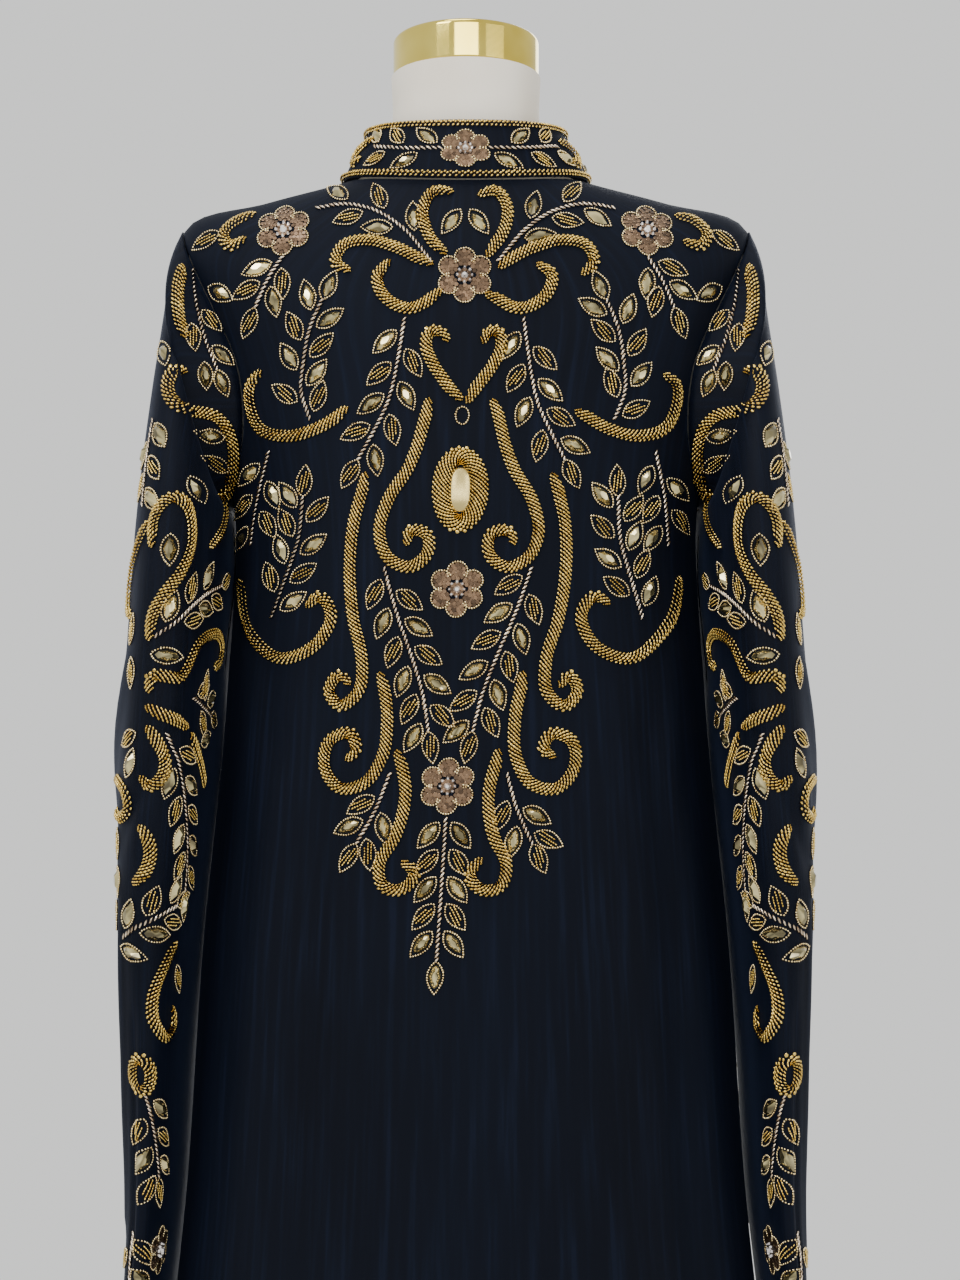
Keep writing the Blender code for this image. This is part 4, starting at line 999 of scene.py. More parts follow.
@dataclass(frozen=True)
class BeadFinish(Finish):
    """Beads, sequins or stones, each with a tint of its own."""
    dark: tuple[float, ...] = rgb(120, 90, 40)
    light: tuple[float, ...] = rgb(225, 190, 110)
    metallic: float = 1.0
    roughness: float = 0.25
    coat: float = 0.0
    # Strength of a painted glint: an emission that makes the brightest beads glow.
    painted_glint: float = 0.0

    def dress(self, nodes: Nodes, shader: bpy.types.Node) -> None:
        """A colour that changes from bead to bead, over fine unevenness, and a painted glint: the brightest
        beads glow by emission, as if lit.

        Args:
            nodes: The material's node builder.
            shader: Its shader.
        """
        tint = nodes.add("Attribute", {"attribute_name": "tint"}).outputs["Fac"]
        place = nodes.add("TexCoord").outputs["Object"]
        grain = self.effect(nodes, Effects.grain(), place, Fine=1800.0, Broad=60.0)
        share = nodes.maths("ADD", nodes.maths("MULTIPLY", tint, 0.8),
                            nodes.maths("MULTIPLY", grain.outputs["Mask"], 0.2))
        nodes.feed(shader.inputs["Base Color"], nodes.mix(share, self.dark, self.light))
        nodes.feed(shader.inputs["Roughness"],
                   nodes.ramp(grain.outputs["Height"], 0.3, 0.7, self.roughness * 0.8, self.roughness * 1.25))
        shader.inputs["Metallic"].default_value = self.metallic
        shader.inputs["Coat Weight"].default_value = self.coat
        shader.inputs["Coat Roughness"].default_value = 0.06
        # Painted glint: beads with the highest tints glow by emission, standing in for lamp highlights.
        if self.painted_glint > 0:
            painted_glint_share = nodes.maths("MULTIPLY", nodes.maths("POWER", tint, 4.0), self.painted_glint)
            nodes.feed(shader.inputs["Emission Color"],
                       nodes.mix(painted_glint_share, (0.0, 0.0, 0.0, 1.0), self.light))
            shader.inputs["Emission Strength"].default_value = 0.35


@dataclass(frozen=True)
class CoverFinish(Finish):
    """Cream jersey stretched over the form."""
    dark: tuple[float, ...] = rgb(228, 218, 200)
    light: tuple[float, ...] = rgb(246, 240, 227)

    def dress(self, nodes: Nodes, shader: bpy.types.Node) -> None:
        """Fine knit on object coordinates.

        Args:
            nodes: The material's node builder.
            shader: Its shader.
        """
        place = nodes.add("TexCoord").outputs["Object"]
        grain = self.effect(nodes, Effects.grain(), place, Fine=900.0, Broad=9.0)
        weave = self.effect(nodes, Effects.weave(), place, Threads=5200.0)
        nodes.feed(shader.inputs["Base Color"], nodes.mix(grain.outputs["Mask"], self.dark, self.light))
        nodes.feed(shader.inputs["Roughness"], nodes.ramp(grain.outputs["Height"], 0.3, 0.7, 0.74, 0.88))
        height = nodes.maths("ADD", grain.outputs["Height"], weave.outputs["Height"])
        bump = nodes.add("Bump", None, Strength=0.10, Distance=0.0004, Height=height)
        nodes.feed(shader.inputs["Normal"], bump.outputs[0])
        shader.inputs["Sheen Weight"].default_value = 0.12


@dataclass(frozen=True)
class MetalFinish(Finish):
    """Plated metal, with faint turning marks."""
    dark: tuple[float, ...] = rgb(200, 174, 66)
    light: tuple[float, ...] = rgb(238, 218, 118)
    roughness: float = 0.08
    marks: float = 0.02

    def dress(self, nodes: Nodes, shader: bpy.types.Node) -> None:
        """Uneven polish and fine rings.

        Args:
            nodes: The material's node builder.
            shader: Its shader.
        """
        place = nodes.add("TexCoord").outputs["Object"]
        grain = self.effect(nodes, Effects.grain(), place, Fine=300.0, Broad=14.0)
        nodes.feed(shader.inputs["Base Color"], nodes.mix(grain.outputs["Mask"], self.dark, self.light))
        nodes.feed(shader.inputs["Roughness"],
                   nodes.ramp(grain.outputs["Mask"], 0.0, 1.0, self.roughness * 0.8, self.roughness * 1.3))
        rings = nodes.add("TexWave", {"bands_direction": "Z"}, Vector=place, Scale=420.0, Distortion=1.5)
        bump = nodes.add("Bump", None, Strength=self.marks, Distance=0.0003, Height=rings.outputs["Fac"])
        nodes.feed(shader.inputs["Normal"], bump.outputs[0])
        shader.inputs["Metallic"].default_value = 1.0


@dataclass(frozen=True)
class FloorFinish(Finish):
    """Plain pale floor."""
    colour: tuple[float, ...] = rgb(214, 213, 209)

    def dress(self, nodes: Nodes, shader: bpy.types.Node) -> None:
        """A matt floor with a little unevenness.

        Args:
            nodes: The material's node builder.
            shader: Its shader.
        """
        place = nodes.add("TexCoord").outputs["Object"]
        grain = self.effect(nodes, Effects.grain(), place, Fine=60.0, Broad=1.2)
        nodes.feed(shader.inputs["Base Color"],
                   nodes.mix(grain.outputs["Mask"], self.colour, rgb(220, 219, 215)))
        shader.inputs["Roughness"].default_value = 0.9


ROBE_CLOTH = ClothFinish("robe_crepe")
SLEEVE_CLOTH = ClothFinish("sleeve_georgette", threads=6200.0, roughness=0.62, sheen=0.05, cover=0.985,
                           thin=0.93, weave_depth=0.2)
FORM_COVER = CoverFinish("form_jersey")
CAP_METAL = MetalFinish("cap_gold")
STAND_METAL = MetalFinish("stand_brass", dark=rgb(176, 146, 84), light=rgb(208, 180, 116), roughness=0.28,
                          marks=0.05)


# Beads

class Bead(Enum):
    """A kind of bead, named as its pieces are."""
    GOLD = "gold_beads"
    SEED = "seed_beads"
    STEM = "stem_beads"
    STONE = "stones"
    GEM = "rhinestones"
    SEQUIN = "sequins"
    MIRROR = "mirrors"


BEAD_FINISHES = {
    Bead.GOLD: BeadFinish("bead_gold", rgb(152, 116, 42), rgb(250, 218, 126), roughness=0.20),
    Bead.SEED: BeadFinish("bead_champagne", rgb(176, 146, 92), rgb(255, 236, 186), 1.0, 0.22, 0.2),
    Bead.STEM: BeadFinish("bead_rose_silver", rgb(158, 136, 112), rgb(255, 238, 214), roughness=0.22),
    # Stones span dark to pale so that the painted facet light and shade has room.
    Bead.STONE: BeadFinish("stone_champagne", rgb(70, 60, 26), rgb(238, 222, 160), 0.9, 0.07, 1.0),
    # Rhinestones get a painted glint (the last number): their brightest beads glow by emission.
    Bead.GEM: BeadFinish("rhinestone", rgb(200, 190, 190), rgb(255, 250, 244), 0.9, 0.05, 1.0, 0.8),
    Bead.SEQUIN: BeadFinish("sequin_taupe", rgb(66, 50, 36), rgb(156, 126, 98), 0.9, 0.26, 0.3),
    Bead.MIRROR: BeadFinish("pendant_mirror", rgb(190, 168, 104), rgb(216, 198, 134), 0.9, 0.34, 0.1),
}
CUT_BEADS = (Bead.STONE, Bead.GEM)


class BeadShapes:
    """The few-faced shape of each kind of bead, one unit across."""

    @staticmethod
    def _read(mesh: bmesh.types.BMesh) -> tuple[np.ndarray, np.ndarray]:
        """Points and triangles of a shape, and the shape freed.

        Args:
            mesh: The shape.
        Returns:
            Points and triangles.
        """
        bmesh.ops.triangulate(mesh, faces=mesh.faces)
        bmesh.ops.recalc_face_normals(mesh, faces=mesh.faces)
        mesh.verts.ensure_lookup_table()
        points = np.array([tuple(v.co) for v in mesh.verts])
        faces = np.array([[v.index for v in face.verts] for face in mesh.faces])
        mesh.free()
        return points, faces

    @classmethod
    def round(cls) -> tuple[np.ndarray, np.ndarray]:
        """A round bead.

        Returns:
            Points and triangles.
        """
        mesh = bmesh.new()
        bmesh.ops.create_icosphere(mesh, subdivisions=1, radius=0.5)
        return cls._read(mesh)

    @classmethod
    def cut(cls, sides: int, table: float, depth: float, pinch: float = 0.0) -> tuple[np.ndarray, np.ndarray]:
        """A cut stone or a sequin: a low cone with a flat table.

        Args:
            sides: Facets round it.
            table: Size of the flat top, as a share of the whole.
            depth: Height.
            pinch: How far its two ends draw to points.
        Returns:
            Points and triangles.
        """
        mesh = bmesh.new()
        bmesh.ops.create_cone(mesh, cap_ends=True, segments=sides, radius1=0.5, radius2=0.5 * table,
                              depth=depth)
        for v in mesh.verts:
            reach = abs(v.co.x) / (0.5 if v.co.z < 0 else 0.5 * table)
            v.co.y *= 1 - pinch * min(1.0, reach)
        return cls._read(mesh)

    @classmethod
    def plate(cls) -> tuple[np.ndarray, np.ndarray]:
        """A flat plate whose outline lies between an oval and an oblong.

        Returns:
            Points and triangles.
        """
        points, faces = cls.cut(24, 0.88, 0.12)
        reach = np.maximum(np.hypot(points[:, 0], points[:, 1]), TINY)
        fullness = ((np.abs(points[:, 0]) / reach) ** 3 + (np.abs(points[:, 1]) / reach) ** 3) ** (-1 / 3)
        points[:, :2] *= fullness[:, None]
        return points, faces

    @classmethod
    def of(cls, bead: Bead) -> tuple[np.ndarray, np.ndarray]:
        """The shape of a kind of bead.

        Args:
            bead: The kind.
        Returns:
            Points and triangles.
        """
        if bead is Bead.STONE:
            return cls.cut(8, 0.42, 0.62, 0.35)
        if bead is Bead.GEM:
            return cls.cut(8, 0.45, 0.6)
        if bead is Bead.SEQUIN:
            return cls.cut(6, 0.8, 0.10)
        if bead is Bead.MIRROR:
            return cls.plate()
        return cls.round()


@dataclass(frozen=True)
class Scroll:
    """A raised scroll of slanted bead rows through a few points, in millimetres."""
    name: str
    points: tuple[Spot, ...]


@dataclass(frozen=True)
class Spray:
    """A twisted stem with leaves on alternate sides, or in pairs, and one at its tip."""
    name: str
    stem: tuple[Spot, ...]
    first: float
    pitch: float
    leaves: int
    paired: bool
    tip: bool


@dataclass(frozen=True)
class Flower:
    """A flower of six sequined petals."""
    name: str
    across: float
    down: float
    radius: float


@dataclass(frozen=True)
class SingleLeaf:
    """A leaf by itself: its middle, which way it points in degrees, and whether it holds a stone."""
    name: str
    across: float
    down: float
    heading: float
    crystal: bool


@dataclass
class Needlework:
    """The beads of one panel's plane, sewn one motif at a time and then set on the cloth."""
    layout: Layout
    seed: int
    rope_half: float = 0.0034
    rope_high: float = 0.0021
    row_pitch: float = 0.00275
    rope_beads: int = 5
    fine_step: float = 0.0005
    lap: float = 1.5
    gold_size: float = 0.00160
    slant: float = math.radians(46)
    taper_run: float = 0.006
    # How far the painted facet light and shade on cut stones strays from each stone's tint.
    painted_facet_light: float = 0.42
    soft_reach: float = 0.0036
    seed_size: float = 0.00152
    seed_pitch: float = 0.00162
    stem_size: tuple[float, float, float] = (0.0052, 0.00165, 0.00180)
    stem_pitch: float = 0.00310
    stem_slant: float = math.radians(36)
    leaf_long: float = 0.0200
    leaf_half: float = 0.0057
    leaf_out: float = 0.0102
    leaf_turn: float = math.radians(38)
    leaf_lean: float = math.radians(8)
    leaf_bead: tuple[float, float, float] = (0.00195, 0.00125, 0.0014)
    leaf_inset: float = 0.0006
    leaf_middle: float = 0.47
    leaf_slide: float = 0.10
    leaf_stone: tuple[float, float, float] = (0.84, 1.78, 1.1)
    leaf_lines: tuple[tuple[float, int], ...] = ((-0.44, 6), (0.0, 8), (0.44, 6))
    petals: int = 6
    petal_out: float = 0.62
    petal_radius: float = 0.355
    petal_sweep: float = 2.05
    petal_rings: tuple[tuple[float, int], ...] = ((0.13, 6), (0.25, 10))
    middle_ring: int = 8
    sequin_ring: float = 0.2
    gem_ring: float = 0.26
    sequin_size: tuple[float, float, float] = (0.0034, 0.0034, 0.0034)
    gem_size: tuple[float, float, float] = (0.0023, 0.0023, 0.0022)
    middle_size: tuple[float, float, float] = (0.0052, 0.0052, 0.0050)
    stock: dict[Bead, list[tuple[np.ndarray, ...]]] = field(default_factory=dict)

    def __post_init__(self) -> None:
        """Starts the panel's own seeded random draws."""
        self.random = np.random.default_rng(self.seed)

    def sew(self, bead: Bead, spots: np.ndarray, turn: np.ndarray | float, lift: np.ndarray | float,
            size: Sequence[float] | np.ndarray, light: float | np.ndarray = 0.5,
            spread: float = 0.26) -> None:
        """Adds beads to the stock.

        Args:
            bead: Their kind.
            spots: One spot a row, in metres.
            turn: Heading of each.
            lift: Height of their middles above the cloth.
            size: Length, width and height.
            light: Middle tint from 0 to 1.
            spread: How far tints stray from it.
        """
        spots = np.asarray(spots, float).reshape(-1, 2)
        count = len(spots)
        tint = np.clip(light + self.random.normal(0, spread, count), 0, 1)
        grown = np.array(size, float) * (1 + self.random.normal(0, 0.05, (count, 1)))
        wander = self.random.normal(0, 0.06 * MM, (count, 2))
        rows = (spots + wander, np.zeros(count) + turn, np.zeros(count) + lift, grown, tint)
        self.stock.setdefault(bead, []).append(rows)

    @staticmethod
    def soften(line: np.ndarray, reach: int) -> np.ndarray:
        """Rounds a line's corners, its ends held.

        Args:
            line: Evenly spaced spots.
            reach: Spots averaged on each side.
        Returns:
            The rounded line.
        """
        head = 2 * line[0] - line[reach:0:-1]
        tail = 2 * line[-1] - line[-2:-reach - 2:-1]
        padded = np.concatenate([head, line, tail])
        window = np.full(2 * reach + 1, 1 / (2 * reach + 1))
        return np.stack([np.convolve(padded[:, axis], window, "valid") for axis in (0, 1)], axis=1)

    def path(self, points: np.ndarray, step: float, soft: bool = True) -> tuple[np.ndarray, np.ndarray]:
        """Evenly stepped spots along a smooth curve, and the heading at each.

        Args:
            points: The curve's few points, in metres.
            step: Distance between spots.
            soft: Whether its tight turns are rounded.
        Returns:
            Spots and headings.
        """
        lengths = np.linalg.norm(np.diff(points, axis=0), axis=1)
        knots = np.concatenate([[0.0], np.cumsum(lengths)])
        fine = Curve(knots, points).read(np.linspace(0, knots[-1], 40 * len(points)))
        if soft:
            reach = min(len(fine) // 6, max(1, round(self.soft_reach / knots[-1] * len(fine))))
            fine = self.soften(fine, reach)
        run = np.concatenate([[0.0], np.cumsum(np.linalg.norm(np.diff(fine, axis=0), axis=1))])
        at = np.linspace(0, run[-1], max(2, round(run[-1] / step)) + 1)
        spots = np.stack([np.interp(at, run, fine[:, axis]) for axis in (0, 1)], axis=1)
        ahead = np.gradient(spots, axis=0)
        return spots, np.arctan2(ahead[:, 1], ahead[:, 0])

    def rope(self, points: np.ndarray, closed: bool = False, half: Optional[float] = None,
             beads: Optional[int] = None) -> None:
        """A padded rope of slanted strands, each a few long beads that lap one another.

        Args:
            points: The rope's middle line, in metres.
            closed: Whether it is a ring, and so keeps its width all round.
            half: Half its width.
            beads: Beads in a strand.
        """
        half, beads = half or self.rope_half, beads or self.rope_beads
        spots, heading = self.path(points, self.fine_step, not closed)
        heading = np.unwrap(heading)
        run = np.concatenate([[0.0], np.cumsum(np.linalg.norm(np.diff(spots, axis=0), axis=1))])
        bend = np.gradient(heading, run)
        rows = np.linspace(0, run[-1], max(3, round(run[-1] / self.row_pitch)) + 1)[:-1]
        taper = np.ones(len(rows))
        if not closed:
            rows = rows + self.row_pitch / 2
            taper = np.clip(np.minimum(rows, run[-1] - rows) / self.taper_run, 0.2, 1) ** 0.55
        lights = 0.58 + self.random.normal(0, 0.16, len(rows))
        length = 2 * half / (beads * math.cos(self.slant)) * self.lap
        for share in np.linspace(-1, 1, beads) * (1 - 0.5 / beads):
            off = share * half * taper
            at = rows - off * math.tan(self.slant)
            at = at % run[-1] if closed else np.clip(at, 0, run[-1])
            tracks = (spots[:, 0], spots[:, 1], heading, bend)
            x, y, turn, curl = (np.interp(at, run, track) for track in tracks)
            place = np.stack([x - np.sin(turn) * off, y + np.cos(turn) * off], axis=1)
            wide = self.gold_size * np.clip(1 - curl * off, 0.62, 1.9)
            size = np.stack([length * taper, wide, self.gold_size + 0 * off], axis=1)
            lift = self.gold_size * 0.35 + self.rope_high * taper * (1 - share**2)
            self.sew(Bead.GOLD, place, turn + math.pi / 2 + self.slant, lift, size, lights, 0.07)

    def stem(self, points: np.ndarray) -> None:
        """A twisted cord of long beads, each lying slantwise over the next."""
        spots, heading = self.path(points, self.stem_pitch)
        self.sew(Bead.STEM, spots, heading + self.stem_slant, 0.0010, self.stem_size, 0.5)

    def outline(self, spots: np.ndarray, bead: Bead = Bead.SEED, light: float = 0.6) -> None:
        """A line of seed beads through closely spaced spots.

        Args:
            spots: The line's spots, in metres.
            bead: Kind of bead.
            light: Middle tint from 0 to 1.
        """
        run = np.concatenate([[0.0], np.cumsum(np.linalg.norm(np.diff(spots, axis=0), axis=1))])
        at = np.linspace(0, run[-1], max(2, round(run[-1] / self.seed_pitch)) + 1)
        line = np.stack([np.interp(at, run, spots[:, axis]) for axis in (0, 1)], axis=1)
        ahead = np.gradient(line, axis=0)
        self.sew(bead, line, np.arctan2(ahead[:, 1], ahead[:, 0]), self.seed_size * 0.45,
                 (self.seed_size * 1.08, self.seed_size, self.seed_size), light)

    def leaf(self, base: np.ndarray, heading: float, crystal: bool, size: float = 1.0) -> None:
        """A pointed leaf, outlined in seed beads round a stone or three slanted bead lines.

        Args:
            base: Where it starts, in metres.
            heading: Which way it points.
            crystal: Whether it holds a stone.
            size: Its size, as a share of the usual one.
        """
        along = np.array([math.cos(heading), math.sin(heading)])
        aside = np.array([-along[1], along[0]])
        long, half = self.leaf_long * size, (self.leaf_half - self.leaf_inset) * size
        t = np.linspace(0, 1, 24)
        width = half * np.sin(math.pi * t**0.86) ** 0.8
        for side in (-1, 1):
            self.outline(base + along * (t * long)[:, None] + aside * (side * width)[:, None])
        if crystal:
            stone = (long * self.leaf_stone[0], half * self.leaf_stone[1], half * self.leaf_stone[2])
            self.sew(Bead.STONE, base + along * long * self.leaf_middle, heading, 0.0012, stone, 0.5)
            return
        lean = heading + self.leaf_lean
        inner = np.array([math.cos(lean), math.sin(lean)])
        for share, beads in self.leaf_lines:
            offs = (np.arange(beads) - (beads - 1) / 2) * self.seed_pitch * 1.08 * size
            reach = self.leaf_middle + self.leaf_slide * share
            middle = base + along * long * reach + aside * half * share
            self.sew(Bead.GOLD, middle + inner * offs[:, None], lean, 0.0009, self.leaf_bead, 0.7)

    def spray(self, spray: Spray, side: int, size: float = 1.0, cycle: int = 0) -> None:
        """A stem and its leaves, worked on one side of the centre line.

        Args:
            spray: The spray, in millimetres.
            side: 1 as written, -1 mirrored.
            size: Leaf size.
            cycle: Where the run of stone and bead leaves starts.
        """
        points = np.array(spray.stem, float) * MM
        points[:, 0] *= side
        self.stem(points)
        stem, _ = self.path(points, MM)
        number = cycle
        for leaf in range(spray.leaves):
            place = min(len(stem) - 2, round(spray.first + leaf * spray.pitch))
            ahead = stem[place + 1] - stem[max(0, place - 1)]
            heading = math.atan2(ahead[1], ahead[0])
            sides = (-1, 1) if spray.paired else ((1,) if leaf % 2 == 0 else (-1,))
            for hand in sides:
                aside = np.array([-math.sin(heading), math.cos(heading)]) * hand
                base = stem[place] + aside * (self.leaf_out - self.leaf_long / 2 * math.sin(self.leaf_turn))
                self.leaf(base, heading + hand * self.leaf_turn, number % 4 < 2, size)
                number += 1
        if spray.tip:
            ahead = stem[-1] - stem[-4]
            self.leaf(stem[-1] + ahead * 0.3, math.atan2(ahead[1], ahead[0]), number % 2 == 0, size)

    def flower(self, flower: Flower, side: int) -> None:
        """A flower: six outlined petals filled with sequins, round a bright stone.

        Args:
            flower: The flower, in millimetres.
            side: 1 as written, -1 mirrored.
        """
        centre = np.array([side * flower.across, flower.down]) * MM
        radius = flower.radius * MM
        for petal in range(self.petals):
            turn = 2 * math.pi * (petal + 0.5) / self.petals
            out = np.array([math.cos(turn), math.sin(turn)])
            middle = centre + out * radius * self.petal_out
            sweep = turn + np.linspace(-self.petal_sweep, self.petal_sweep, 26)
            rim = middle + np.stack([np.cos(sweep), np.sin(sweep)], axis=1) * radius * self.petal_radius
            self.outline(rim, light=0.65)
            rows = [middle]
            for ring, count in self.petal_rings:
                angle = np.arange(count) * 2 * math.pi / count + petal
                rows += list(middle + np.stack([np.cos(angle), np.sin(angle)], axis=1) * radius * ring)
            lift = 0.0005 + 0.0002 * (np.arange(len(rows)) % 3)
            self.sew(Bead.SEQUIN, np.array(rows), turn, lift, self.sequin_size, 0.45)
        angle = np.arange(self.middle_ring) * 2 * math.pi / self.middle_ring
        around = np.stack([np.cos(angle), np.sin(angle)], axis=1) * radius
        self.sew(Bead.SEQUIN, centre + around * self.sequin_ring, angle, 0.0008, self.sequin_size, 0.5)
        self.sew(Bead.GEM, centre + around * self.gem_ring, angle, 0.0016, self.gem_size, 0.6)
        self.sew(Bead.GEM, centre, 0.0, 0.0018, self.middle_size, 0.8)

    def oval(self, centre: Spot, sizes: Spot) -> np.ndarray:
        """The middle line of an oval ring, in metres.

        Args:
            centre: Its middle, in millimetres.
            sizes: Half its width and half its height, in millimetres.
        Returns:
            Spots round it, the first repeated at the end.
        """
        turn = np.linspace(0, 2 * math.pi, 33)
        spots = [centre[0] + sizes[0] * np.cos(turn), centre[1] + sizes[1] * np.sin(turn)]
        return np.stack(spots, axis=1) * MM

    def motifs(self, scrolls: Sequence[Scroll], sprays: Sequence[Spray], flowers: Sequence[Flower],
               side: int, size: float = 1.0, leaves: Sequence[SingleLeaf] = ()) -> None:
        """Works tables of motifs on one side of the centre line.

        Args:
            scrolls: Bead ropes.
            sprays: Stems with leaves.
            flowers: Flowers.
            side: 1 as written, -1 mirrored.
            size: Leaf size.
            leaves: Leaves without a stem.
        """
        for single in leaves:
            turn = math.radians(single.heading if side > 0 else 180 - single.heading)
            along = np.array([math.cos(turn), math.sin(turn)])
            middle = np.array([side * single.across, single.down]) * MM
            self.leaf(middle - along * self.leaf_long * size / 2, turn, single.crystal, size)
        for scroll in scrolls:
            points = np.array(scroll.points, float) * MM
            points[:, 0] *= side
            self.rope(points)
        for number, spray in enumerate(sprays):
            self.spray(spray, side, size, number)
        for flower in flowers:
            self.flower(flower, side)

    def beads(self, bead: Bead) -> Optional[tuple[np.ndarray, np.ndarray, np.ndarray]]:
        """All beads of one kind, set on the cloth.

        Args:
            bead: The kind.
        Returns:
            Points, triangles and the tint of each point, or None where there are none.
        """
        if bead not in self.stock:
            return None
        spots, turn, lift, size, tint = (np.concatenate(rows) for rows in zip(*self.stock[bead]))
        origin, axes, reached = self.layout.seat(spots, turn, lift)
        origin, axes, size, tint = (rows[reached] for rows in (origin, axes, size, tint))
        shape, faces = BeadShapes.of(bead)
        points = origin[:, None, :] + np.einsum("nij,nkj->nki", axes, shape[None] * size[:, None, :])
        triangles = faces[None] + (np.arange(len(origin)) * len(shape))[:, None, None]
        tints = np.repeat(tint, len(shape))
        # Painted facet light and shade: each corner of a cut stone or rhinestone takes a random tint, so its
        # facets read as lit and shaded.
        if bead in CUT_BEADS:
            tints = np.clip(tints + self.random.normal(0, self.painted_facet_light, len(tints)), 0, 1)
        return points.reshape(-1, 3), triangles.reshape(-1, 3), tints


# Pieces

class Bench:
    """Turns finished meshes into pieces of the object."""

    @staticmethod
    def place(name: str, mesh: bmesh.types.BMesh, finish: Finish, slot: str) -> bpy.types.Object:
        """A piece from a bmesh, smooth-shaded and riding on the object.

        Args:
            name: The piece's name.
            mesh: Its mesh, which is freed.
            finish: Its finish.
            slot: Not used; only handed on to ready.
        Returns:
            The piece.
        """
        data = bpy.data.meshes.new(name)
        mesh.to_mesh(data)
        mesh.free()
        return Bench.ready(name, data, finish, slot)

    @staticmethod
    def ready(name: str, data: bpy.types.Mesh, finish: Finish, slot: str,
              sharp: float = 48.0) -> bpy.types.Object:
        """A piece from a mesh, smooth-shaded and riding on the object.

        Args:
            name: The piece's name.
            data: Its mesh.
            finish: Its finish.
            slot: Not used.
            sharp: Edges bent by more degrees than this stay sharp.
        Returns:
            The piece.
        """
        data.shade_smooth()
        data.set_sharp_from_angle(angle=math.radians(sharp))
        data.materials.append(finish.material())
        piece = bpy.data.objects.new(name, data)
        bpy.context.collection.objects.link(piece)
        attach(piece, "root")
        return piece

    @staticmethod
    def bead_pieces(name: str, works: Sequence[Needlework], slot: str) -> list[bpy.types.Object]:
        """One piece for each kind of bead in a panel's needlework.

        Args:
            name: The panel's name.
            works: Its needlework, one for each plane.
            slot: Not used; only handed on to ready.
        Returns:
            The pieces.
        """
        pieces = []
        for bead in Bead:
            sewn = [found for found in (work.beads(bead) for work in works) if found]
            if not sewn:
                continue
            starts = np.cumsum([0] + [len(points) for points, _, _ in sewn])
            points = np.concatenate([found[0] for found in sewn])
            faces = np.concatenate([found[1] + start for found, start in zip(sewn, starts)])
            data = bpy.data.meshes.new(f"{name}_{bead.value}")
            data.vertices.add(len(points))
            data.vertices.foreach_set("co", points.astype(np.float32).ravel())
            data.loops.add(faces.size)
            data.loops.foreach_set("vertex_index", faces.astype(np.int32).ravel())
            data.polygons.add(len(faces))
            data.polygons.foreach_set("loop_start", np.arange(0, faces.size, 3, dtype=np.int32))
            data.update(calc_edges=True)
            tint = data.attributes.new("tint", "FLOAT", "POINT")
            tint.data.foreach_set("value", np.concatenate([found[2] for found in sewn]).astype(np.float32))
            sharp = 8.0 if bead in CUT_BEADS else 48.0
            pieces.append(Bench.ready(data.name, data, BEAD_FINISHES[bead], slot, sharp))
            log.info("%s: %d triangles", data.name, len(faces))
        return pieces


@dataclass
class ClothPiece(ABC):
    """A cut of the robe: a thin shell on its surface, with its beadwork."""
    name: str
    surface: Surface
    finish: Finish
    slot: str
    flat_cut: tuple[float, float]
    held: str
    rests_on: tuple[str, ...]
    thickness: float = 0.0007
    columns: int = 100

    @abstractmethod
    def rows(self) -> np.ndarray:
        """Places down the cut, one for each line of the grid."""

    @abstractmethod
    def round_place(self, share: float, v: float) -> float:
        """u at a share of the way across, at a place down."""

    @abstractmethod
    def needlework(self) -> list[Needlework]:
        """The piece's beadwork."""

    def shell(self) -> bpy.types.Object:
        """The cloth, from a flat grid laid on the surface and thickened inwards.

        Returns:
            The cloth's piece.
        """
        rows = self.rows()
        mesh = bmesh.new()
        bmesh.ops.create_grid(mesh, x_segments=self.columns, y_segments=len(rows) - 1, size=1.0)
        spots = np.array([tuple(v.co) for v in mesh.verts])
        share = (spots[:, 0] + 1) / 2
        v = rows[np.rint((1 - spots[:, 1]) / 2 * (len(rows) - 1)).astype(int)]
        u = np.array([self.round_place(s, place) for s, place in zip(share, v)])
        layer = mesh.loops.layers.uv.new("cloth")
        for face in mesh.faces:
            for loop in face.loops:
                index = loop.vert.index
                loop[layer].uv = (u[index] * self.surface.metric, v[index])
        for vert, point in zip(mesh.verts, self.surface.outside(u, v)):
            vert.co = point
        bmesh.ops.remove_doubles(mesh, verts=mesh.verts, dist=1e-5)
        self.face_outwards(mesh)
        piece = Bench.place(self.name + "_cloth", mesh, self.finish, self.slot)
        wall = piece.modifiers.new("wall", "SOLIDIFY")
        wall.thickness = self.thickness
        wall.offset = -1.0
        return piece

    def face_outwards(self, mesh: bmesh.types.BMesh) -> None:
        """Turns the shell's faces away from the form.

        Args:
            mesh: The shell.
        """
        mesh.faces.ensure_lookup_table()
        spots = np.array([tuple(face.calc_center_median()) for face in mesh.faces])
        facing = np.array([tuple(face.normal) for face in mesh.faces])
        centre = spots.mean(0) if self.closed() else np.array([0.0, 0.0, 0.0])
        away = ((spots - centre)[:, :2] * facing[:, :2]).sum()
        if away < 0:
            bmesh.ops.reverse_faces(mesh, faces=mesh.faces)

    def closed(self) -> bool:
        """Whether the cut closes on itself, as a tube."""
        return False

    def area(self, piece: bpy.types.Object) -> float:
        """Area of the cut, from the shell before it has its thickness."""
        return sum(face.area for face in piece.data.polygons)

    def build(self) -> list[bpy.types.Object]:
        """Makes the cloth and its beadwork.

        Returns:
            The pieces.
        """
        cloth = self.shell()
        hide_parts(self.name)
        beads = Bench.bead_pieces(self.name, self.needlework(), self.slot)
        return [cloth] + beads


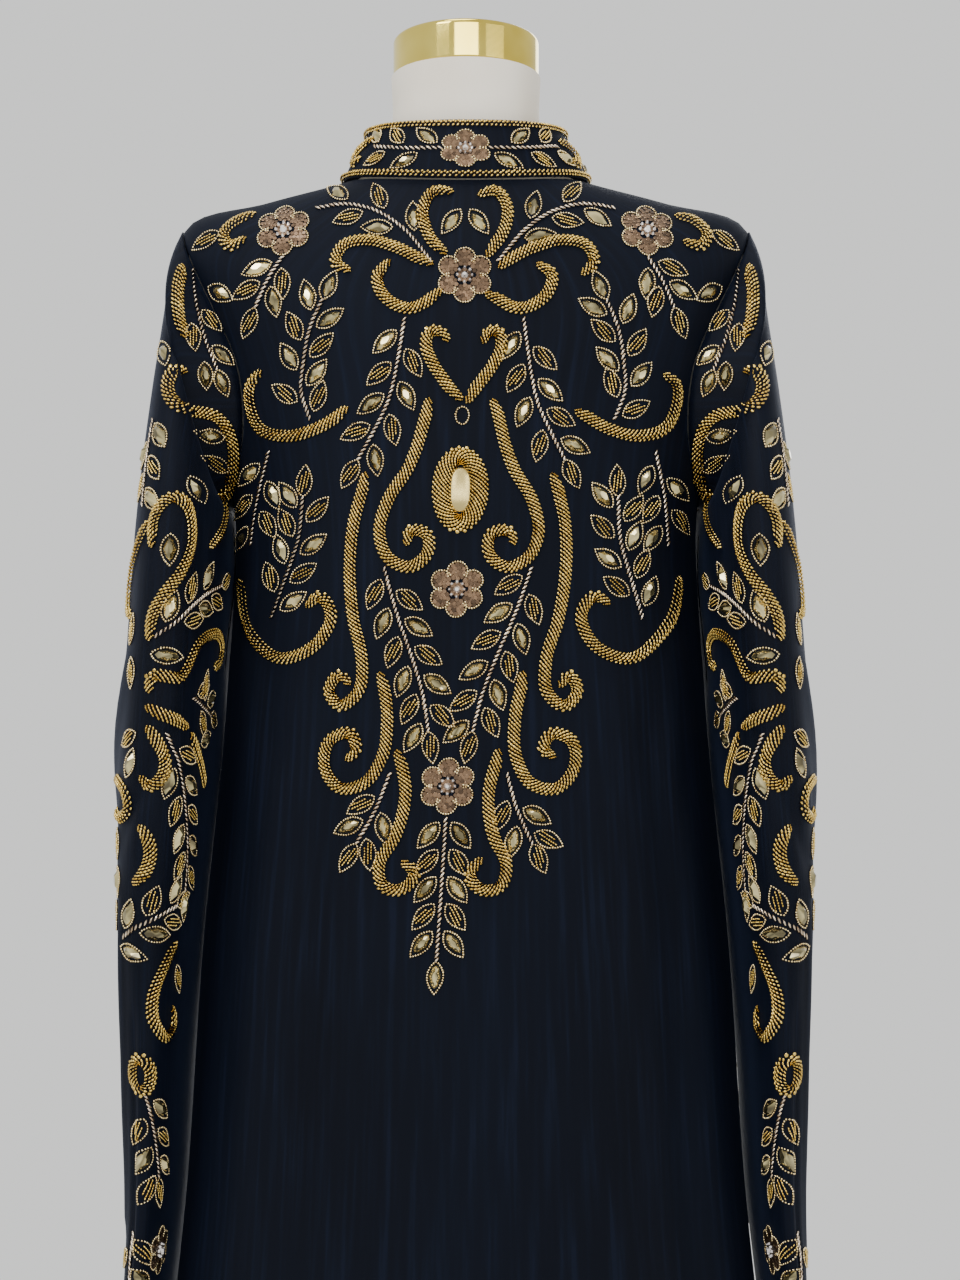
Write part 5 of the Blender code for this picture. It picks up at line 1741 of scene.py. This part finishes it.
def body_rows(body: BodySurface) -> np.ndarray:
    """Places down a body panel: even, but set by angle past the armhole.

    Args:
        body: The robe's body.
    Returns:
        The places, from the neck to the hem.
    """
    angle = np.linspace(0, math.pi, 27)
    reach = (body.underarm_v - body.shoulder_v) / 2
    armhole = body.shoulder_v + reach * (1 - np.cos(angle))
    return np.concatenate([np.linspace(0, body.shoulder_v, 13)[:-1], armhole,
                           np.linspace(body.underarm_v, body.length, 112)[1:]])


BACK_SCROLLS = (
    Scroll("crown", ((13, 53), (24, 38), (27, 19), (20, 8), (8, 10))),
    Scroll("wing", ((21, 60), (45, 47), (64, 42), (79, 46), (83, 57), (74, 64))),
    Scroll("cradle", ((14, 77), (36, 88), (52, 79), (56, 66), (47, 57))),
    Scroll("heart", ((11, 110), (15, 103), (22, 103), (24, 111), (19, 124), (10, 137), (1.5, 148))),
    Scroll("hook", ((129, 126), (137, 133), (137, 148), (130, 162), (112, 168), (90, 163), (72, 152))),
    Scroll("shoulder", ((138, 20), (151, 25), (158, 34), (153, 43), (142, 39))),
    Scroll("long inner", ((20, 146), (33, 190), (46, 212), (50, 232), (44, 247), (30, 253), (19, 244),
                          (20, 232), (31, 230), (34, 239))),
    Scroll("long outer", ((59, 193), (67, 228), (68, 256), (64, 288), (58, 311), (60, 333), (71, 341),
                          (79, 331), (72, 321), (66, 328))),
    Scroll("cup", ((143, 258), (136, 288), (111, 311), (86, 300), (79, 281), (87, 271), (96, 277))),
    Scroll("ram", ((45, 319), (40, 350), (42, 373), (53, 390), (68, 393), (79, 380), (76, 362),
                   (63, 358), (59, 369), (66, 374))),
    Scroll("foot", ((32, 368), (26, 396), (31, 423), (40, 441), (37, 454), (25, 456), (17, 446),
                    (25, 437))),
)
BACK_SPRAYS = (
    Spray("shoulder stem", ((22, 56), (40, 34), (59, 21), (78, 16), (96, 18)), 22, 12.0, 5, False, False),
    Spray("fall", ((38, 95), (41, 117), (48, 150), (57, 169), (65, 184)), 8, 10.6, 8, False, True),
    Spray("rise", ((97, 157), (103, 140), (102, 122), (98, 99), (91, 82)), 3, 9.6, 8, False, True),
    Spray("shoulder drop", ((118, 53), (126, 66), (134, 84)), 6, 14.0, 2, True, True),
    Spray("side fall", ((124, 178), (131, 208), (134, 236)), 8, 10.0, 5, False, False),
    Spray("cup rise", ((118, 284), (110, 260), (102, 234), (100, 208)), 6, 9.6, 8, False, True),
    Spray("inner fall", ((46, 254), (38, 280), (28, 306), (19, 332), (14, 356)), 6, 9.6, 11, False, True),
    Spray("tail side", ((37, 384), (44, 405), (55, 427)), 16, 8.5, 4, False, True),
)
CENTRE_SPRAY = Spray("tail", ((0, 412), (0, 455), (0, 500)), 2, 17.0, 5, True, True)
BACK_LEAVES = (
    SingleLeaf("crown", 9, 30, 55, True),
    SingleLeaf("shoulder tip", 170, 37, 28, False),
    SingleLeaf("by armhole", 158, 73, 148, True),
)
BACK_FLOWERS = (Flower("shoulder", 118, 33, 18.5),)
CENTRE_FLOWERS = (
    Flower("nape", 0, 66, 18.5),
    Flower("middle", 0, 267, 18.0),
    Flower("low", 0, 391, 18.0),
)
FRONT_SPRAYS = (
    Spray("shoulder stem", ((70, 22), (88, 20), (106, 24)), 4, 12.0, 4, False, False),
    Spray("shoulder drop", ((122, 62), (130, 78), (137, 96)), 4, 9.0, 4, False, True),
)
FRONT_FLOWERS = (Flower("shoulder", 118, 42, 17.0),)
SLEEVE_SCROLLS = (
    Scroll("sickle tail", ((178, 1288), (177, 1273), (166, 1255), (148, 1240))),
    Scroll("arch", ((107, 1181), (106, 1194), (112, 1210), (120, 1223), (126, 1240), (124, 1256), (117, 1268),
                    (109, 1272), (102, 1266), (99, 1254), (102, 1240))),
    Scroll("outer hook", ((95, 1257), (84, 1242), (71, 1226), (64, 1211), (67, 1199), (80, 1199))),
    Scroll("wave", ((110, 1148), (110, 1159), (118, 1158), (127, 1157), (134, 1166), (141, 1177), (156, 1184),
                    (174, 1184), (186, 1175), (183, 1165), (172, 1163))),
    Scroll("bar", ((107, 1138), (120, 1133), (138, 1126))),
    Scroll("bar hook", ((108, 1126), (116, 1116), (121, 1105), (118, 1093), (110, 1088), (104, 1094))),
    Scroll("bar tail", ((140, 1121), (154, 1105), (168, 1086))),
    Scroll("edge hook", ((60, 1090), (78, 1090), (92, 1083), (93, 1073), (82, 1067), (70, 1071))),
    Scroll("comma", ((104, 1063), (110, 1055), (111, 1044), (107, 1033), (101, 1025))),
    Scroll("crook", ((130, 988), (117, 973), (107, 955), (106, 937), (115, 926), (126, 932), (124, 945))),
)
SLEEVE_SPRAYS = (
    Spray("outer column", ((80, 1322), (81, 1294), (84, 1268)), 3, 10.5, 5, False, False),
    Spray("elbow", ((110, 1184), (120, 1192), (131, 1202), (148, 1211), (168, 1217)), 9, 9.0, 6, False, True),
    Spray("under wave", ((142, 1144), (157, 1138), (174, 1132)), 4, 9.5, 3, False, True),
    Spray("long", ((122, 1121), (129, 1106), (134, 1090), (139, 1070), (143, 1046), (142, 1020)), 12, 9.6, 9,
          False, True),
    Spray("cluster", ((90, 992), (103, 1000), (117, 1007), (130, 1011)), 4, 9.0, 5, False, True),
    Spray("wrist", ((97, 890), (101, 862), (104, 836)), 4, 9.6, 6, False, True),
    Spray("cuff", ((84, 800), (82, 785), (83, 762)), 2, 10.0, 4, False, False),
)
SLEEVE_LEAVES = (
    SingleLeaf("in arch", 112, 1238, -84, True),
    SingleLeaf("by arch foot", 118, 1171, -6, True),
    SingleLeaf("arch side", 84, 1188, 80, False),
    SingleLeaf("wave side", 90, 1160, -80, False),
    SingleLeaf("above bar", 160, 1152, 84, False),
    SingleLeaf("bar inner", 166, 1117, 18, True),
    SingleLeaf("bar side", 92, 1118, 205, False),
    SingleLeaf("bar hook", 96, 1103, 68, True),
    SingleLeaf("edge high", 74, 1050, -78, False),
    SingleLeaf("edge middle", 80, 1026, -70, True),
    SingleLeaf("edge low", 74, 1004, -60, False),
    SingleLeaf("cluster low", 96, 982, -20, True),
    SingleLeaf("crook side", 134, 962, -76, False),
)
SLEEVE_FLOWERS = (Flower("wrist", 112, 786, 16.0),)
CROWN_SCROLLS = (
    Scroll("edge", ((186, 1427), (188, 1411), (187, 1394), (183, 1376))),
    Scroll("sickle", ((181, 1353), (186, 1355), (190, 1347), (189, 1337), (184, 1330), (174, 1329),
                      (163, 1327), (156, 1320), (152.5, 1309), (153, 1296), (156, 1285), (160, 1277))),
)
CROWN_SPRAY = Spray("crown", ((180, 1424), (177, 1403), (171, 1380), (162, 1357)), 4, 9.5, 0, False, True)
CROWN_LEAVES = (
    SingleLeaf("inner high", 166, 1389, 226, False),
    SingleLeaf("inner low", 158, 1366, 220, True),
    SingleLeaf("outer high", 177, 1377, 260, False),
    SingleLeaf("outer low", 169, 1352, 266, True),
    SingleLeaf("below edge", 194, 1366, 256, True),
    SingleLeaf("under sickle", 166.5, 1314, 4, True),
    SingleLeaf("in sickle", 164, 1297, 24, False),
    SingleLeaf("low in sickle", 173, 1277, 246, True),
)
COLLAR_SCROLLS = (Scroll("end", ((62, 13), (72, 16), (80, 24), (74, 31), (67, 27))),)
COLLAR_SPRAYS = (
    Spray("side", ((13, 21), (32, 21), (56, 19)), 2, 10.0, 5, False, False),
    Spray("front", ((92, 21), (112, 21), (132, 21)), 2, 10.0, 4, False, False),
)
COLLAR_FLOWER = Flower("collar", 0, 21, 13.5)


@dataclass
class BackPanel(ClothPiece):
    """The back, cut whole, with the great beaded design."""
    pendant_down: float = 204.0
    pendant_ring: Spot = (12.0, 21.5)
    pendant_half: float = 0.0055
    pendant_mirror: tuple[float, float, float] = (0.0270, 0.0128, 0.012)
    loop_down: float = 157.0
    loop_size: Spot = (4.2, 5.6)
    columns: int = 104

    def rows(self) -> np.ndarray:
        """Places down the back."""
        return body_rows(self.surface)

    def round_place(self, share: float, v: float) -> float:
        """From the left side edge to the right one."""
        return (2 * share - 1) * self.surface.side_edge(v, True)

    def needlework(self) -> list[Needlework]:
        """The back's beadwork, both sides of the centre line.

        Returns:
            Its needlework.
        """
        work = Needlework(Layouts.body(self.surface, -1.0, 1.0, True), seed=11)
        for side in (-1, 1):
            work.motifs(BACK_SCROLLS, BACK_SPRAYS, BACK_FLOWERS, side, leaves=BACK_LEAVES)
        work.motifs((), (CENTRE_SPRAY,), CENTRE_FLOWERS, 1)
        work.rope(work.oval((0, self.pendant_down), self.pendant_ring), True, self.pendant_half, 9)
        work.sew(Bead.MIRROR, np.array([[0, self.pendant_down]]) * MM, math.pi / 2, 0.0009,
                 self.pendant_mirror, 0.6)
        work.outline(work.oval((0, self.loop_down), self.loop_size))
        return [work]


@dataclass
class FrontPanel(ClothPiece):
    """A front, open at the centre, with the sprays that come over the shoulder."""
    side: Side = Side.RIGHT
    open_neck: float = 0.007
    open_hem: float = 0.030
    columns: int = 52

    def rows(self) -> np.ndarray:
        """Places down the front."""
        return body_rows(self.surface)

    def round_place(self, share: float, v: float) -> float:
        """From the side edge to the front edge.

        Args:
            share: Share of the way across.
            v: Place down the body.
        Returns:
            u of the place.
        """
        ring = self.surface.curve.read(np.array(v))
        gap = self.open_neck + (self.open_hem - self.open_neck) * v / self.surface.length
        edge = 2 - float(gap / (math.pi / 2 * ring[3] * (1 + CORNER)))
        side_edge = self.surface.side_edge(v, False)
        return self.side.value * (side_edge + share * (edge - side_edge))

    def needlework(self) -> list[Needlework]:
        """The front's beadwork.

        Returns:
            Its needlework.
        """
        low, high = sorted((self.side.value * 1.0, self.side.value * 2.0))
        work = Needlework(Layouts.body(self.surface, low, high, False), seed=21 + self.side.value)
        work.motifs((), FRONT_SPRAYS, FRONT_FLOWERS, self.side.value)
        return [work]


@dataclass
class Sleeve(ClothPiece):
    """A hanging sleeve of sheer cloth, beaded behind and in front."""
    ring_at: Spot = (95, 904)
    ring_size: Spot = (6.0, 10.5)
    columns: int = 96

    def rows(self) -> np.ndarray:
        """Places down the sleeve."""
        return np.concatenate([np.linspace(0, 0.07, 29)[:-1], np.linspace(0.07, self.surface.length, 104)])

    def closed(self) -> bool:
        """The sleeve is a tube."""
        return True

    def round_place(self, share: float, v: float) -> float:
        """All round, from the underarm seam."""
        return (2 * share - 1) * math.pi

    def needlework(self) -> list[Needlework]:
        """The same beadwork on the rear half and the front half.

        Returns:
            Two planes for each half: head and arm.
        """
        works = []
        for rear in (1, -1):
            head = Needlework(Layouts.sleeve(self.surface, rear, True), seed=41 + rear)
            head.motifs(CROWN_SCROLLS, (CROWN_SPRAY,), (), 1, 0.9, CROWN_LEAVES)
            work = Needlework(Layouts.sleeve(self.surface, rear, False), seed=31 + rear)
            work.motifs(SLEEVE_SCROLLS, SLEEVE_SPRAYS, SLEEVE_FLOWERS, 1, leaves=SLEEVE_LEAVES)
            work.rope(work.oval(self.ring_at, self.ring_size), True)
            works += [head, work]
        return works


@dataclass
class Collar(ClothPiece):
    """The standing collar, edged with bead ropes."""
    rope_in: float = 0.0030
    rope_half: float = 0.0017
    leaf_size: float = 0.85
    columns: int = 150

    def rows(self) -> np.ndarray:
        """Places down from the top edge."""
        return np.linspace(0, self.surface.length, 15)

    def round_place(self, share: float, v: float) -> float:
        """From one front end to the other."""
        return (2 * share - 1) * self.surface.end

    def needlework(self) -> list[Needlework]:
        """Ropes along both edges, a flower at centre back, leaves and scrolls.

        Returns:
            Its needlework.
        """
        work = Needlework(Layouts.collar(self.surface), seed=51)
        for side in (-1, 1):
            work.motifs(COLLAR_SCROLLS, COLLAR_SPRAYS, (), side, self.leaf_size)
        work.motifs((), (), (COLLAR_FLOWER,), 1)
        reach = (self.surface.end - 0.03) * self.surface.metric
        for down in (self.rope_in, self.surface.length - self.rope_in):
            work.rope(np.array([[-reach, down], [0.0, down], [reach, down]]), False, self.rope_half, 3)
        return [work]


@dataclass
class Robe:
    """The bisht: back, two fronts, two sleeves and the collar."""
    body: BodySurface = field(default_factory=BodySurface)

    def build(self) -> list[bpy.types.Object]:
        """Makes every cut of the robe.

        Returns:
            The pieces.
        """
        pieces = BackPanel("back", self.body, ROBE_CLOTH, "cloth", (0.72, 1.47), "hung",
                           ("form_torso",)).build()
        collar = CollarSurface(self.body)
        for side in Side:
            pieces += FrontPanel("front_" + side.word, self.body, ROBE_CLOTH, "cloth", (0.36, 1.47), "hung",
                                 ("form_torso",), side=side).build()
            pieces += Sleeve("sleeve_" + side.word, SleeveSurface(self.body, side), SLEEVE_CLOTH,
                             "sleeve_cloth", (0.46, 0.78), "hung", ("back",)).build()
        pieces += Collar("collar", collar, ROBE_CLOTH, "cloth", (0.40, 0.045), "stretched", ("back",)).build()
        return pieces


# The dress form and its stand

@dataclass
class DressForm:
    """Limbless torso and neck under stretched cream jersey, and the gold cap on the neck."""
    body: BodySurface = field(default_factory=BodySurface)
    gaps: tuple[float, ...] = (0.0005, 0.0006, 0.0034, 0.0055, 0.0065)
    neck: tuple[Ring, ...] = (
        Ring("neck top", 1.5640, 1.5605, 1.5570, 0.0505, 0.0505, 0.0505),
        Ring("mid neck", 1.5340, 1.5310, 1.5260, 0.0498, 0.0492, 0.0495),
        Ring("neck root", 1.5050, 1.5060, 1.4760, 0.0550, 0.0490, 0.0495),
    )
    below: tuple[Ring, ...] = (
        Ring("under bust", 1.165, 1.165, 1.160, 0.134, 0.090, 0.104),
        Ring("waist", 1.075, 1.075, 1.075, 0.118, 0.084, 0.090),
        Ring("high hip", 0.985, 0.985, 0.985, 0.143, 0.098, 0.100),
        Ring("hip", 0.895, 0.895, 0.895, 0.158, 0.107, 0.104),
        Ring("foot", 0.800, 0.800, 0.800, 0.148, 0.100, 0.097),
    )
    cap_radius: float = 0.0492
    cap_high: float = 0.0260
    cap_edge: float = 0.0030
    cap_gap: float = 0.0003
    cap_bevel: float = 0.0008
    cap_support: float = 0.0006
    cap_cells: int = 112
    cap_arc: int = 6
    round_cells: int = 112
    down_cells: int = 150

    def torso(self) -> bpy.types.Object:
        """The torso and neck, one smooth closed body.

        Returns:
            The piece.
        """
        rings = list(self.neck)
        for ring, gap in zip(self.body.rings, self.gaps):
            rings.append(Ring(ring.name, ring.z_back - gap, ring.z_side - gap, ring.z_front - gap,
                              ring.half_width - gap, ring.back - gap, ring.front - gap))
        table = np.array([ring.values() for ring in rings + list(self.below)])
        steps = np.hypot(np.diff(table[:, 0]), np.diff(table[:, 4]))
        curve = Curve(np.concatenate([[0.0], np.cumsum(steps)]), table)
        mesh = bmesh.new()
        bmesh.ops.create_grid(mesh, x_segments=self.round_cells, y_segments=self.down_cells, size=1.0)
        spots = np.array([tuple(v.co) for v in mesh.verts])
        places = curve.read((1 - spots[:, 1]) / 2 * curve.knots[-1])
        u = 2 * spots[:, 0]
        shape = oval(places, u)
        for vert, point in zip(mesh.verts, shape):
            vert.co = point
        bmesh.ops.remove_doubles(mesh, verts=mesh.verts, dist=1e-5)
        ends = [edge for edge in mesh.edges if edge.is_boundary]
        bmesh.ops.holes_fill(mesh, edges=ends, sides=0)
        bmesh.ops.recalc_face_normals(mesh, faces=mesh.faces)
        piece = Bench.place("form_cover", mesh, FORM_COVER, "form_cover")
        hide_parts("form_torso")
        return piece

    def cap(self) -> bpy.types.Object:
        """The polished cap, spun and then tipped with the neck's top.

        Returns:
            The piece.
        """
        mesh = bmesh.new()
        inner = self.cap_radius - self.cap_edge
        wall_top = self.cap_high - self.cap_edge
        radius, bevel = self.cap_radius, self.cap_bevel
        profile = [(0.0, 0.0), (radius - bevel, 0.0), (radius, bevel), (radius, 0.0014),
                   (radius, wall_top - self.cap_support), (radius, wall_top)]
        for step in range(1, self.cap_arc + 1):
            turn = math.pi / 2 * step / self.cap_arc
            profile.append((inner + self.cap_edge * math.cos(turn),
                            wall_top + self.cap_edge * math.sin(turn)))
        profile += [(inner * 0.6, self.cap_high + 0.0006), (0.0, self.cap_high + 0.0009)]
        Turning.spin(mesh, profile, self.cap_cells)
        top = self.neck[0]
        slope = (top.z_back - top.z_front) / (top.back + top.front)
        for vert in mesh.verts:
            vert.co.z += top.z_side - slope * vert.co.y + self.cap_gap
        piece = Bench.place("neck_cap_polished", mesh, CAP_METAL, "gold_cap")
        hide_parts("neck_cap")
        return piece

    def build(self) -> list[bpy.types.Object]:
        """Makes the torso and the cap."""
        return [self.torso(), self.cap()]


class Turning:
    """Pieces turned about the upright axis."""

    @staticmethod
    def spin(mesh: bmesh.types.BMesh, profile: Sequence[Spot], cells: int) -> None:
        """Spins a profile into a closed body.

        Args:
            mesh: Where to build it.
            profile: Radius and height of each point, from axis to axis.
            cells: Steps round.
        """
        verts = [mesh.verts.new((radius, 0.0, height)) for radius, height in profile]
        edges = [mesh.edges.new(pair) for pair in zip(verts, verts[1:])]
        bmesh.ops.spin(mesh, geom=verts + edges, cent=(0, 0, 0), axis=(0, 0, 1), angle=2 * math.pi,
                       steps=cells, use_merge=True)
        bmesh.ops.remove_doubles(mesh, verts=mesh.verts, dist=1e-6)
        bmesh.ops.recalc_face_normals(mesh, faces=mesh.faces)


@dataclass
class Stand:
    """The pole under the form and the round base on the floor."""
    base_radius: float = 0.190
    base_thick: float = 0.008
    base_edge: float = 0.0015
    pole_radius: float = 0.0125
    foot_z: float = 0.800
    gap: float = 0.0003
    base_bevel: float = 0.0006
    pole_bevel: float = 0.0008
    base_arc: int = 4
    base_cells: int = 160
    pole_cells: int = 48

    def base(self) -> bpy.types.Object:
        """The base, with a rounded rim.

        Returns:
            The piece.
        """
        mesh = bmesh.new()
        radius, edge, thick = self.base_radius, self.base_edge, self.base_thick
        bevel = self.base_bevel
        profile = [(0.0, 0.0), (radius - bevel, 0.0), (radius, bevel), (radius, thick - edge)]
        for step in range(1, self.base_arc + 1):
            turn = math.pi / 2 * step / self.base_arc
            profile.append((radius - edge + edge * math.cos(turn), thick - edge + edge * math.sin(turn)))
        profile.append((0.0, thick))
        Turning.spin(mesh, profile, self.base_cells)
        piece = Bench.place("stand_base_plate", mesh, STAND_METAL, "stand_metal")
        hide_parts("stand_base")
        return piece

    def pole(self) -> bpy.types.Object:
        """The pole, from the base to the form.

        Returns:
            The piece.
        """
        mesh = bmesh.new()
        low, high = self.base_thick + self.gap, self.foot_z - self.gap
        radius, chamfer = self.pole_radius, self.pole_bevel
        profile = [(0.0, low), (radius - chamfer, low), (radius, low + chamfer), (radius, high - chamfer),
                   (radius - chamfer, high), (0.0, high)]
        Turning.spin(mesh, profile, self.pole_cells)
        piece = Bench.place("stand_pole_tube", mesh, STAND_METAL, "stand_metal")
        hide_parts("stand_pole")
        return piece

    def build(self) -> list[bpy.types.Object]:
        """Makes the base and the pole."""
        return [self.base(), self.pole()]


# Floor, light and camera

Place = tuple[float, float, float]


@dataclass(frozen=True)
class Lamp:
    """A soft square or oblong lamp. high is its height, where it isn't the width; power is in watts."""
    name: str
    place: Place
    aim: Place
    size: float
    power: float
    high: Optional[float] = None


@dataclass
class Studio:
    """A plain pale floor, soft light and the camera at the photograph's angle."""
    camera_at: Place = (0.0095, -1.560, 1.181)
    lens: float = 64.7
    sensor: float = 36.0
    sensor_high: float = 24.0
    floor_cells: int = 128
    floor_radius: float = 2.35
    air: tuple[float, ...] = (0.98, 0.985, 0.975, 1.0)
    air_strength: float = 1.0
    lamps: tuple[Lamp, ...] = (
        Lamp("key", (-1.7, -2.3, 3.0), (0.0, 0.0, 1.15), 1.1, 48.0),
        Lamp("fill", (2.0, -1.9, 1.6), (0.0, 0.0, 1.1), 1.4, 10.0),
        Lamp("strip", (0.04, -2.3, 2.14), (0.0, 0.0, 1.57), 1.5, 16.0, 0.5),
        Lamp("front", (0.9, 2.6, 2.2), (0.0, 0.0, 1.1), 1.5, 26.0),
        Lamp("top", (-0.2, -0.4, 3.2), (0.0, 0.0, 1.4), 0.8, 14.0),
    )

    def floor(self) -> bpy.types.Object:
        """The floor, a round pale sheet.

        Returns:
            The floor.
        """
        mesh = bmesh.new()
        bmesh.ops.create_circle(mesh, cap_ends=True, segments=self.floor_cells, radius=self.floor_radius)
        data = bpy.data.meshes.new("floor")
        mesh.to_mesh(data)
        mesh.free()
        data.materials.append(FloorFinish("floor_pale").material())
        piece = bpy.data.objects.new("floor", data)
        bpy.context.collection.objects.link(piece)
        return piece

    def hang(self, lamp: Lamp) -> bpy.types.Object:
        """Hangs a lamp and aims it.

        Args:
            lamp: The lamp.
        Returns:
            Its object.
        """
        light = bpy.data.lights.new(lamp.name, "AREA")
        light.shape, light.energy = "RECTANGLE", lamp.power
        light.size, light.size_y = lamp.size, lamp.high or lamp.size
        hung = bpy.data.objects.new(lamp.name, light)
        hung.location = lamp.place
        hung.rotation_mode = "QUATERNION"
        hung.rotation_quaternion = (Vector(lamp.aim) - Vector(lamp.place)).to_track_quat("-Z", "Y")
        bpy.context.collection.objects.link(hung)
        return hung

    def build(self) -> None:
        """Sets the floor, the light and the camera."""
        self.floor()
        world = bpy.data.worlds.new("soft air")
        world.use_nodes = True
        sky = world.node_tree.nodes["Background"]
        sky.inputs["Color"].default_value = self.air
        sky.inputs["Strength"].default_value = self.air_strength
        bpy.context.scene.world = world
        for lamp in self.lamps:
            self.hang(lamp)
        data = bpy.data.cameras.new("camera")
        data.lens, data.sensor_fit = self.lens, "AUTO"
        data.sensor_width, data.sensor_height = self.sensor, self.sensor_high
        camera = bpy.data.objects.new("camera", data)
        camera.location = self.camera_at
        camera.rotation_euler = (math.pi / 2, 0.0, 0.0)
        bpy.context.collection.objects.link(camera)
        bpy.context.scene.camera = camera


def main() -> None:
    """Builds the robe, the form, the stand and the studio, in that order."""
    logging.basicConfig(level=logging.INFO, format="%(name)s: %(message)s")
    pieces = Robe().build() + DressForm().build() + Stand().build()
    for piece in pieces:
        log.info("%s: %d faces", piece.name, len(piece.data.polygons))
    Studio().build()


if __name__ == "__main__":
    main()
